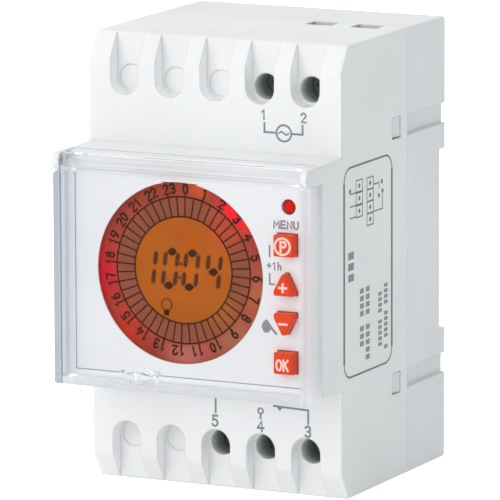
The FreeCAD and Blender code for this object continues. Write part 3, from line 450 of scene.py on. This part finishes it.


# ---------------------------------------------------------------- materials

# boxes in mm: the inside of the casing, which gets painted shade, and the terminal recesses, whose walls
# that face +X get painted bounce light
inside_casing = ((-26.2, -40.7, -42.9), (26.2, 10.0, 42.9))
terminal_recesses = ((-26.2, -44.2, -43.4), (26.2, -40.8, 43.4))
white = plastic("housing_white", (0.83, 0.84, 0.85), roughness=0.42, grain=5.0, grain_depth=0.012,
                round_radius=0.45, painted_shade_box=inside_casing, bright=(*terminal_recesses, (0.97, 0.975, 0.98)))
base_white = plastic("base_white", (0.80, 0.815, 0.83), roughness=0.46, grain=5.0, grain_depth=0.014)
panel_white = plastic("panel_white", (0.81, 0.815, 0.825), roughness=0.34, grain=8.0, grain_depth=0.006)
clip_white = plastic("clip_white", (0.72, 0.74, 0.76), roughness=0.5, grain=3.0)
key_red = plastic("key_red", (0.77, 0.052, 0.009), roughness=0.36, grain=6.0, grain_depth=0.008,
                  tone=0.1, edge_lift=0.03, subsurface=0.05, shine=0.18)
black = plastic("black_plastic", (0.03, 0.03, 0.032), roughness=0.5, edge_lift=0.1)
rubber = plastic("contact_rubber", (0.05, 0.05, 0.055), roughness=0.7, grain=2.0)
relay_blue = plastic("relay_blue", (0.03, 0.10, 0.34), roughness=0.28, coat=0.3)
film_yellow = plastic("capacitor_yellow", (0.75, 0.48, 0.05), roughness=0.3, coat=0.3)
sleeve = plastic("capacitor_sleeve", (0.02, 0.03, 0.09), roughness=0.25, coat=0.4)
disc_blue = plastic("varistor_blue", (0.03, 0.12, 0.42), roughness=0.35, grain=1.5, grain_depth=0.05)
cable = plastic("cable_grey", (0.42, 0.42, 0.44), roughness=0.5, tone=0.08)
header = plastic("header_white", (0.78, 0.75, 0.66), roughness=0.35)
guide = plastic("light_guide", (0.85, 0.55, 0.2), roughness=0.2, subsurface=0.3)
plated = metal("plated_steel", (0.62, 0.62, 0.63), roughness=0.3)
screw_metal = metal("screw_steel", (0.34, 0.36, 0.34), roughness=0.36)
cage_metal = metal("cage_steel", (0.5, 0.47, 0.4), roughness=0.38, stretch=(1, 0.2, 1))
brass = metal("contact_brass", (0.66, 0.47, 0.2), roughness=0.32, stretch=(1, 1, 0.2))
spring_metal = metal("spring_steel", (0.45, 0.45, 0.47), roughness=0.25)

# the clear cover, in mm: the outer faces of its side walls and bottom wall, planes just ahead of it
# and behind it, and the ends of its hinge barrel's height
cover_low, cover_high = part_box("clear_cover")
cover_left, cover_right, cover_foot = cover_low.x / MM, cover_high.x / MM, cover_low.z / MM
AHEAD, BEHIND = -60.5, -50.0
BARREL_FOOT, BARREL_TOP = 18.7, 23.0
# painted shade on the cover's left wall: a grey-blue band and a darker line, standing in for the wall's
# inner edge seen through the front
painted_wall_shade = (
    ((cover_left - 0.1, AHEAD, -22.5), (cover_left + 1.4, -54.4, 22.5), (0.72, 0.745, 0.79)),
    ((cover_left + 1.5, AHEAD, -22.5), (cover_left + 1.85, -58.2, 22.5), (0.50, 0.53, 0.62)))
whitened = (
    ((cover_right - 1.4, AHEAD, cover_foot - 0.1), (cover_right + 0.1, BEHIND, 19.0), 0.4),
    ((cover_left - 0.1, AHEAD, cover_foot - 0.1), (cover_right + 0.1, BEHIND, cover_foot + 1.3), 0.3),
    ((cover_left - 0.1, AHEAD, BARREL_FOOT), (cover_right + 0.1, BEHIND, BARREL_TOP), 0.3))
around_catch = ((-12.6, AHEAD, cover_foot - 0.1), (-4.2, BEHIND, cover_foot + 5.0))
cover_clear = clear("cover_clear", (0.985, 0.987, 0.99), (0.93, 0.94, 0.96), reflection=0.08, bend=1.2,
                    haze=0.12, zones=painted_wall_shade, milky=whitened, ripple=around_catch)
window_clear = clear("window_clear", (0.99, 0.985, 0.98), (0.9, 0.88, 0.86), reflection=0.05)

print_grey = ink("print_grey", (0.22, 0.235, 0.25))
panel_grey = ink("panel_grey", (0.25, 0.25, 0.265))
side_grey = ink("side_grey", (0.16, 0.17, 0.18))
legend_pale = ink("legend_pale", (0.93, 0.64, 0.57), shine=0.2)
label_grey = ink("label_grey", (0.27, 0.28, 0.295))
lcd_dark = ink("lcd_dark", (0.055, 0.014, 0.006), shine=0.05)
lcd_line = ink("lcd_line", (0.060, 0.013, 0.006), shine=0.05)
lcd_brown = ink("lcd_brown", (0.115, 0.030, 0.010), shine=0.05)


def circuit_green():
    """Solder mask over copper: tracks show as slightly raised lighter lines."""
    material, tree, output = new_material("circuit_green")
    place = place_of(tree)
    cells = add(tree, "ShaderNodeTexBrick", {
        "Vector": place, "Scale": 0.35, "Mortar Size": 0.03, "Color1": rgba((0.01, 0.13, 0.05)),
        "Color2": rgba((0.012, 0.15, 0.06)), "Mortar": rgba((0.03, 0.26, 0.11))})
    bump = add(tree, "ShaderNodeBump", {"Height": cells.outputs["Fac"], "Distance": 0.03 * MM})
    shader = add(tree, "ShaderNodeBsdfPrincipled", {
        "Base Color": cells.outputs["Color"], "Roughness": 0.3, "Normal": bump.outputs[0]})
    tree.links.new(shader.outputs[0], output.inputs["Surface"])
    return material


def display_glow():
    """The lit display: amber in the middle, brown segment ring, red-orange number ring with hot spots."""
    material, tree, output = new_material("display_glow")
    place = place_of(tree)
    centre = tuple(value / MM for value in (dial_sheet.origin.x, 0.0, dial_sheet.origin.z))
    from_centre = add(tree, "ShaderNodeVectorMath", {0: place, 1: centre}, operation="SUBTRACT").outputs[0]
    flat = add(tree, "ShaderNodeVectorMath", {0: from_centre, 1: (1.0, 0.0, 1.0)},
               operation="MULTIPLY").outputs[0]
    radius = add(tree, "ShaderNodeVectorMath", {0: flat}, operation="LENGTH").outputs["Value"]
    share = math_node(tree, "DIVIDE", radius, window_radius)
    zones = add(tree, "ShaderNodeValToRGB", {"Fac": share})
    stops = zones.color_ramp.elements
    stops[0].position, stops[0].color = 0.0, rgba((0.39, 0.095, 0.002))
    stops[1].position, stops[1].color = 0.58, rgba((0.36, 0.085, 0.002))
    for position, colour in ((0.60, (0.21, 0.065, 0.031)), (0.80, (0.24, 0.063, 0.030)),
                             (0.83, (0.31, 0.050, 0.026)), (1.0, (0.29, 0.036, 0.021))):
        stop = stops.new(position)
        stop.color = rgba(colour)
    colour = zones.outputs["Color"]
    outer = add(tree, "ShaderNodeMapRange", {"Value": share, "From Min": 0.78, "From Max": 0.86}).outputs[0]
    inner = math_node(tree, "SUBTRACT", 1.0, outer)
    spots = (                 # across, up, reach in mm, strength, colour, and the ring the spot lies over
        (11.0, 11.6, 6.4, 1.3, (0.78, 0.010, 0.020), outer),
        (-17.0, -1.5, 9.0, 1.0, (0.52, 0.008, 0.018), outer),
        (-12.0, -12.0, 7.0, 0.9, (0.46, 0.028, 0.012), outer),
        (3.4, 16.2, 3.4, 1.0, (0.58, 0.080, 0.010), outer),
        (15.5, -3.0, 8.0, 0.9, (0.38, 0.105, 0.048), outer),
        (11.0, -13.0, 9.0, 0.9, (0.34, 0.120, 0.060), outer),
        (0.5, -17.0, 7.5, 1.0, (0.42, 0.120, 0.095), outer),
        (9.5, 9.0, 7.0, 0.8, (0.50, 0.048, 0.020), inner),
        (1.0, 6.0, 6.0, 0.6, (0.37, 0.068, 0.002), inner),
        (7.5, -7.0, 6.0, 0.7, (0.36, 0.110, 0.002), inner),
        (-5.5, 3.0, 5.0, 0.5, (0.37, 0.110, 0.002), inner),
    )
    for across, up, reach, strength, spot_colour, zone in spots:
        away = add(tree, "ShaderNodeVectorMath", {0: flat, 1: (across, 0.0, up)},
                   operation="DISTANCE").outputs["Value"]
        near = add(tree, "ShaderNodeMapRange", {
            "Value": away, "From Min": reach, "From Max": 0.0, "To Min": 0.0, "To Max": strength},
            interpolation_type="SMOOTHSTEP").outputs[0]
        colour = blend(tree, math_node(tree, "MULTIPLY", near, zone), colour, rgba(spot_colour))
    patches = noise(tree, place, 0.25)
    mottling = ramp(tree, patches, 0.3, 0.7, (0.9, 0.9, 0.9, 1), (1.06, 1.0, 1.0, 1))
    mottled = blend(tree, 1.0, colour, mottling, "MULTIPLY")
    shader = add(tree, "ShaderNodeBsdfPrincipled", {
        "Base Color": mottled, "Roughness": 0.5, "Specular IOR Level": 0.1,
        "Emission Color": mottled, "Emission Strength": 0.3})
    tree.links.new(shader.outputs[0], output.inputs["Surface"])
    return material


def lamp_red():
    """The indicator lamp: bright in the middle and darker towards its rim."""
    material, tree, output = new_material("lamp_red")
    facing = add(tree, "ShaderNodeLayerWeight", {"Blend": 0.35}).outputs["Facing"]
    base = ramp(tree, facing, 0.05, 0.5, (0.66, 0.006, 0.001, 1), (0.33, 0.016, 0.010, 1))
    shader = add(tree, "ShaderNodeBsdfPrincipled", {
        "Base Color": base, "Roughness": 0.22, "Emission Color": base, "Emission Strength": 0.15,
        "Specular IOR Level": 0.06, "Subsurface Weight": 0.1, "Subsurface Scale": 0.5 * MM})
    tree.links.new(shader.outputs[0], output.inputs["Surface"])
    return material


board_green = circuit_green()
NODE_MATERIALS = {
    "front_housing": white, "rear_base": base_white, "front_panel": panel_white,
    "clear_cover": cover_clear, "display_window": window_clear, "lcd_glass": display_glow(),
    "lcd_backlight": guide, "zebra_strips": rubber, "display_board": board_green,
    "main_board": board_green, "indicator_led": lamp_red(), "tact_switches": black,
    "microcontroller": black, "quartz_crystal": plated, "battery_holder": black,
    "backup_battery": plated, "ribbon_cable": cable, "cable_headers": header,
    "board_screws": plated, "relay": relay_blue, "supply_capacitor": film_yellow,
    "smoothing_capacitor": sleeve, "varistor": disc_blue, "contact_bars": brass,
    "clip_spring": spring_metal, "din_clip": clip_white,
}
FAMILY_MATERIALS = (("_button", key_red), ("_switch_plunger", black),
                    ("terminal_screw_", screw_metal), ("terminal_cage_", cage_metal))


def material_for(name):
    if name in NODE_MATERIALS:
        return NODE_MATERIALS[name]
    return next(material for part, material in FAMILY_MATERIALS if part in name)


for node_name, node_object in nodes.items():
    node_object.data.materials.clear()
    node_object.data.materials.append(material_for(node_name))


# ---------------------------------------------------------------- display graphics

HOUR = 2 * math.pi / 24
DIAL_TURN = 0.034                 # radians by which the printed dial stands clockwise in its window


def dial_point(hour, radius):
    """A place on the dial; hours run clockwise from the top."""
    angle = math.pi / 2 - hour * HOUR - DIAL_TURN
    return radius * math.cos(angle), radius * math.sin(angle)


def dial_graphics():
    """The number ring, the 48 switching segments and their outlines."""
    middle = window_radius * 0.81
    inner = window_radius * 0.59
    line = 0.28
    rings = Drawing(dial_sheet, FILM, 2 * FILM)
    rings.ring((0, 0), middle - 0.16, middle + 0.16)
    rings.ring((0, 0), inner - 0.15, inner + 0.15)
    rings.finish("dial_rings", lcd_dark, "casing")

    lines = Drawing(dial_sheet, FILM, 1.9 * FILM)
    for hour in range(24):
        lines.stroke(dial_point(hour, middle), dial_point(hour, middle + 0.7), line)
    for half_hour in range(48):
        hour = half_hour / 2
        lines.stroke(dial_point(hour, inner), dial_point(hour, middle), line)
    lines.finish("dial_lines", lcd_line, "casing")

    numbers = Drawing(dial_sheet, FILM, 2 * FILM)
    for hour in range(24):
        ahead = 0.15 if hour > 9 else 0.0      # long numbers stand a little clockwise of their line
        centre = dial_point(hour + ahead, middle + 1.5)
        numbers.text(str(hour), centre, 1.7, turn=-(hour + ahead) * HOUR, weight=0.24, squeeze=0.95)
    numbers.finish("dial_numbers", lcd_dark, "casing")


SEGMENTS = {"0": "abcdef", "1": "bc", "4": "fgbc"}


def time_digits():
    """The slanted seven-segment time and the small lamp symbol."""
    upright_bars = Drawing(dial_sheet, FILM, 2 * FILM)
    level_bars = Drawing(dial_sheet, FILM, 2.1 * FILM)
    height, width, slant, bar = 7.1, 2.55, 0.12, 0.88      # of a digit and its bars, mm

    def skewed(x, y, points):
        return [(x + px + slant * py, y + py) for px, py in points]

    def digit(x, y, shown):
        half, gap = height / 2, 0.35
        tip = bar / 2
        upright = [(0, gap), (tip, gap + tip), (tip, half - gap - tip), (0, half - gap),
                   (-tip, half - gap - tip), (-tip, gap + tip)]
        thick = bar * 0.82
        level = [(0.2, 0), (0.2 + thick, -thick), (width - 0.2 - thick, -thick), (width - 0.2, 0),
                 (width - 0.2 - thick, thick), (0.2 + thick, thick)]
        places = {"a": (0, half - 0.3, level), "g": (0, 0, level), "d": (0, -half + 0.3, level),
                  "f": (0, 0, upright), "b": (width, 0, upright),
                  "e": (0, -half, upright), "c": (width, -half, upright)}
        for letter in SEGMENTS[shown]:
            dx, dy, points = places[letter]
            drawing = level_bars if letter in "adg" else upright_bars
            drawing.outline(skewed(x + slant * dy + dx, y + dy, points))

    middle_y = 0.12
    for x, shown in zip((-8.6, -4.0, 0.3, 5.0), "1004"):
        digit(x, middle_y, shown)
    for y in (-1.3, 1.3):
        upright_bars.disc((-0.62 + slant * y, middle_y + y - 0.25), 0.3)
    bulb = (-3.55, -6.8)
    upright_bars.ring(bulb, 0.95, 1.2, steps=40)
    level_bars.outline([(bulb[0] - 0.5, bulb[1] - 2.1), (bulb[0] + 0.5, bulb[1] - 2.1),
                        (bulb[0] + 0.6, bulb[1] - 1.15), (bulb[0] - 0.6, bulb[1] - 1.15)])
    upright_bars.finish("time_uprights", lcd_brown, "casing")
    level_bars.finish("time_levels", lcd_dark, "casing")


dial_graphics()
time_digits()


# ---------------------------------------------------------------- key legends and panel print

def key_sheet(name):
    low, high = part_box(f"{name}_button")
    plunger_low, plunger_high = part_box(f"{name}_switch_plunger")
    column = (plunger_low.x + plunger_high.x) / 2
    return Sheet((column, low.y, (low.z + high.z) / 2), ACROSS, UP)


def key_legends():
    """Pale generic signs on the four keys."""
    ring = Drawing(key_sheet("program"), 0, FILM)
    ring.ring((-0.1, -0.05), 1.33, 1.77, steps=64)
    ring.text("P", (0.05, -0.1), 1.85, weight=0.24, squeeze=1.1)
    ring.finish("program_legend", legend_pale, "program_key")
    plus = Drawing(key_sheet("plus"), 0, FILM)
    arm, half = 0.95, 0.22
    plus_x, plus_z = -0.05, -0.45
    cross = [(-arm, -half), (-half, -half), (-half, -arm), (half, -arm), (half, -half), (arm, -half),
             (arm, half), (half, half), (half, arm), (-half, arm), (-half, half), (-arm, half)]
    plus.outline([(plus_x + x, plus_z + z) for x, z in cross])
    plus.finish("plus_legend", legend_pale, "plus_key")
    minus = Drawing(key_sheet("minus"), 0, FILM)
    minus.stroke((-1.0, 0.1), (0.95, 0.1), 0.44)
    minus.finish("minus_legend", legend_pale, "minus_key")
    confirm = Drawing(key_sheet("ok"), 0, FILM)
    confirm.text("OK", (-0.2, -0.3), 1.95, weight=0.2, squeeze=0.82)
    confirm.finish("ok_legend", legend_pale, "ok_key")


def panel_print():
    """Generic grey legends beside the keys."""
    drawing = Drawing(panel_sheet, 0, FILM)
    drawing.text("MENU", (20.75, 11.3), 1.3, weight=0.28, squeeze=1.2)
    stem = 17.3
    drawing.path([(stem, 7.1), (stem, 5.1)], 0.34)
    drawing.text("+1h", (stem + 0.95, 3.4), 1.25, weight=0.24, squeeze=1.0)
    drawing.path([(stem, 1.8), (stem, -0.1), (stem + 0.9, -0.1)], 0.34)
    hand = (16.6, -8.15)
    drawing.outline([(hand[0] - 1.05, hand[1] - 0.2), (hand[0] - 0.5, hand[1] - 1.2),
                     (hand[0] + 0.4, hand[1] - 1.2), (hand[0] + 1.25, hand[1] - 0.15),
                     (hand[0] + 0.1, hand[1] + 1.35), (hand[0] - 0.7, hand[1] + 0.8)])
    drawing.stroke((hand[0] + 0.9, hand[1] - 0.1), (hand[0] + 2.15, hand[1] - 1.4), 0.45)
    drawing.finish("panel_print", panel_grey, "casing")


key_legends()
panel_print()


# ---------------------------------------------------------------- prints on the casing

PITCH = 9.48                      # between neighbouring terminals, mm
LINE = 0.38                       # width of the drawn circuit, mm


def block_print():
    """Terminal numbers and the circuit symbols on the two terminal shoulders."""
    drawing = Drawing(shoulder_sheet, 0, FILM)
    one, two = PITCH, 2 * PITCH
    number_z = 29.65
    drawing.text("1", (one + 0.8, number_z), 1.75, weight=0.2)
    drawing.text("2", (two - 0.35, number_z - 0.1), 1.7, weight=0.2)
    source = ((one + two) / 2 + 0.3, 26.35)
    radius = 1.55
    drawing.path([(one + 1.0, 28.05), (one + 1.0, source[1]), (source[0] - radius, source[1])], LINE)
    drawing.path([(two - 0.55, 28.05), (two - 0.55, source[1]), (source[0] + radius, source[1])], LINE)
    drawing.ring(source, radius - 0.2, radius + 0.18, steps=64)
    wave = [(source[0] + (i / 10 - 1) * 0.95, source[1] + 0.25 * math.sin((i / 10 - 1) * math.pi) * -1)
            for i in range(21)]
    for start, end in zip(wave, wave[1:]):
        drawing.stroke(start, end, 0.3)
    for number, x, z in (("5", -0.15, -29.85), ("4", PITCH, -30.0), ("3", 2 * PITCH + 0.4, -30.25)):
        drawing.text(number, (x, z), 2.0, weight=0.2)
    drawing.stroke((0.0, -28.4), (0.0, -25.0), LINE)
    drawing.ring((PITCH, -27.1), 0.35, 0.68, steps=40)
    drawing.stroke((PITCH, -27.7), (PITCH, -28.7), LINE)
    contact_x = 2 * PITCH + 0.5
    drawing.path([(contact_x, -28.7), (contact_x, -26.15), (12.3, -25.9)], LINE)
    drawing.outline([(12.9, -26.1), (13.5, -26.8), (14.1, -26.1)])
    drawing.finish("terminal_print", print_grey, "casing")


def side_print():
    """The rating field on the right side: outline, terminal diagrams and rows of plain blocks."""
    drawing = Drawing(side_sheet, 0, 0.6 * FILM)
    front, back, bottom, top, corner = -43.0, -21.8, -19.9, 20.1, 2.8
    width, upright_width = 0.38, 0.72
    for z in (bottom, top):
        drawing.stroke((front + corner, z), (back - corner, z), width)
    for y in (front, back):
        drawing.stroke((y, bottom + corner), (y, top - corner), upright_width)
    for y, z, start in ((back - corner, top - corner, 0), (front + corner, top - corner, 1),
                        (front + corner, bottom + corner, 2), (back - corner, bottom + corner, 3)):
        drawing.sector((y, z), corner - width / 2, corner + width / 2,
                       start * math.pi / 2, (start + 1) * math.pi / 2, 12)
    thin, dot = 0.24, 0.45
    for y, cells in ((-31.5, (9.0, 11.3, 13.6, 15.9)), (-36.3, (11.3, 13.7, 16.1))):
        for z in cells:
            low, high = z - 1.1, z + 1.1
            near, far = y - 1.4, y + 1.4
            drawing.path([(near, low), (far, low), (far, high), (near, high), (near, low)], thin)
            drawing.disc((y, z), dot)
    drawing.path([(-30.1, 10.2), (-26.0, 10.2), (-26.0, 13.0)], thin)
    drawing.path([(-30.1, 15.4), (-27.5, 15.4), (-27.5, 14.4)], thin)
    for z in (10.4, 12.6, 15.0):
        drawing.path([(-37.7, z), (-40.3, z)], thin)
    for y, z in ((-26.0, 13.6), (-27.6, 12.9), (-26.3, 15.4), (-40.4, 15.6)):
        drawing.disc((y, z), dot)
    drawing.finish("side_print", side_grey, "casing")

    blocks = Drawing(side_sheet, 0, 0.6 * FILM)
    rows = (                  # across, upper end, lower end, block width, pitch
        (-40.0, 4.0, -2.4, 2.5, 2.1),
        (-35.2, -3.7, -16.4, 1.7, 1.45),
        (-32.6, -3.7, -18.8, 1.7, 1.45),
        (-27.1, -5.7, -16.8, 1.6, 1.08),
        (-24.5, -4.4, -18.2, 1.6, 1.08),
    )
    for y, start, end, breadth, pitch in rows:
        near, far = y - breadth / 2, y + breadth / 2
        for step in range(int((start - end) / pitch)):
            if step % 6 != 4:
                upper = start - step * pitch
                lower = upper - 0.68 * pitch
                blocks.outline([(near, lower), (far, lower), (far, upper), (near, upper)])
    blocks.finish("side_blocks", label_grey, "casing")


block_print()
side_print()


# ---------------------------------------------------------------- clip spring

def coil_spring():
    """The clip's spring, drawn as a swept coil."""
    low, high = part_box("clip_spring")
    stop_z, top_z = low.z + 0.15 * MM, high.z - 0.15 * MM
    centre_y, coil, wire = 1.3 * MM, 1.05 * MM, 0.2 * MM
    turns, steps, sides = 6, 24, 8
    mesh = bmesh.new()
    rings = []
    total = turns * steps
    section = [2 * math.pi * k / sides for k in range(sides)]
    for i in range(total + 1):
        angle = 2 * math.pi * i / steps
        outward = Vector((math.cos(angle), math.sin(angle), 0))
        z = stop_z + wire + (top_z - stop_z - 2 * wire) * i / total
        centre = Vector((0, centre_y, z)) + outward * coil
        rings.append([mesh.verts.new(centre + wire * (math.cos(a) * outward + math.sin(a) * Vector(UP)))
                      for a in section])
    for one, two in zip(rings, rings[1:]):
        for k in range(sides):
            j = (k + 1) % sides
            mesh.faces.new((one[k], one[j], two[j], two[k]))
    mesh.faces.new(list(reversed(rings[0])))
    mesh.faces.new(rings[-1])
    bmesh.ops.recalc_face_normals(mesh, faces=mesh.faces)
    spring = finish_mesh(mesh, "coil_spring", spring_metal, "casing")
    for face in spring.data.polygons:
        face.use_smooth = True
    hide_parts("clip_spring")
    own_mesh(spring)


coil_spring()


# ---------------------------------------------------------------- stage, light and camera

def studio():
    """A pale floor that curves up into a backdrop, and soft white light that falls off to the right."""
    floor_z = cad_low.z
    mesh = bmesh.new()
    reach, bend, steps = 4.0, 1.2, 16
    profile = [(-reach, floor_z)]
    for i in range(steps + 1):
        angle = math.pi / 2 * i / steps
        profile.append((reach - bend + bend * math.sin(angle), floor_z + bend - bend * math.cos(angle)))
    profile.append((reach, floor_z + reach))
    rows = [[mesh.verts.new((x, y, z)) for y, z in profile] for x in (-2 * reach, 2 * reach)]
    for i in range(len(profile) - 1):
        mesh.faces.new((rows[0][i], rows[1][i], rows[1][i + 1], rows[0][i + 1]))
    data = bpy.data.meshes.new("studio_floor")
    mesh.to_mesh(data)
    mesh.free()
    for face in data.polygons:
        face.use_smooth = True
    floor = bpy.data.objects.new("studio_floor", data)
    scene.collection.objects.link(floor)
    material, tree, output = new_material("studio_white")
    seen = add(tree, "ShaderNodeLightPath").outputs["Is Camera Ray"]
    glow = add(tree, "ShaderNodeMapRange", {"Value": seen, "To Min": 0.15, "To Max": 0.6}).outputs[0]
    shader = add(tree, "ShaderNodeBsdfPrincipled", {
        "Base Color": rgba((0.9, 0.9, 0.9)), "Roughness": 0.8, "Specular IOR Level": 0.1,
        "Emission Color": rgba((1.0, 1.0, 1.0)), "Emission Strength": glow})
    tree.links.new(shader.outputs[0], output.inputs["Surface"])
    data.materials.append(material)

    world = bpy.data.worlds.new("studio")
    world.use_nodes = True
    tree = world.node_tree
    direction = add(tree, "ShaderNodeTexCoord").outputs["Generated"]
    sideways = add(tree, "ShaderNodeSeparateXYZ", {0: direction}).outputs["X"]
    shade = add(tree, "ShaderNodeMapRange", {
        "Value": sideways, "From Min": 0.4, "From Max": 0.95, "To Min": 0.0, "To Max": 1.0},
        interpolation_type="SMOOTHSTEP").outputs[0]
    colour = ramp(tree, shade, 0.0, 1.0, (1.0, 1.0, 1.0, 1.0), (0.005, 0.055, 0.062, 1.0))
    background = tree.nodes["Background"]
    tree.links.new(colour, background.inputs["Color"])
    background.inputs["Strength"].default_value = 0.93
    scene.world = world


def area_light(name, place, power, colour=(1.0, 1.0, 1.0)):
    """A square lamp of 0.9 m that shines at the origin."""
    light = bpy.data.lights.new(name, "AREA")
    light.color = colour
    light.size = 0.9
    light.energy = power
    holder = bpy.data.objects.new(name, light)
    holder.location = place
    holder.rotation_euler = (-Vector(place)).to_track_quat("-Z", "Y").to_euler()
    scene.collection.objects.link(holder)


def camera():
    """A long lens, above and to the right of the front."""
    azimuth, elevation, roll = math.radians(26.16), math.radians(10.18), math.radians(0.206)
    target = Vector((-5.48, -17.84, -1.60)) * MM
    distance = 1.221
    back = Vector((math.sin(azimuth) * math.cos(elevation),
                   -math.cos(azimuth) * math.cos(elevation), math.sin(elevation)))
    data = bpy.data.cameras.new("camera")
    data.lens = 455.56
    data.sensor_width = 36.0
    data.clip_end = 50.0
    holder = bpy.data.objects.new("camera", data)
    turn = (-back).to_track_quat("-Z", "Y").to_matrix().to_4x4() @ Matrix.Rotation(-roll, 4, "Z")
    holder.matrix_world = Matrix.Translation(target + back * distance) @ turn
    scene.collection.objects.link(holder)
    scene.camera = holder


studio()
area_light("key_light", (-0.5, -1.1, 0.62), 3.9)
area_light("fill_light", (0.9, -0.7, 0.15), 0.3, (0.8, 1.0, 1.0))
area_light("top_light", (0.0, 0.1, 1.2), 0.6)
camera()
scene.view_settings.view_transform = "Standard"
scene.view_settings.look = "None"
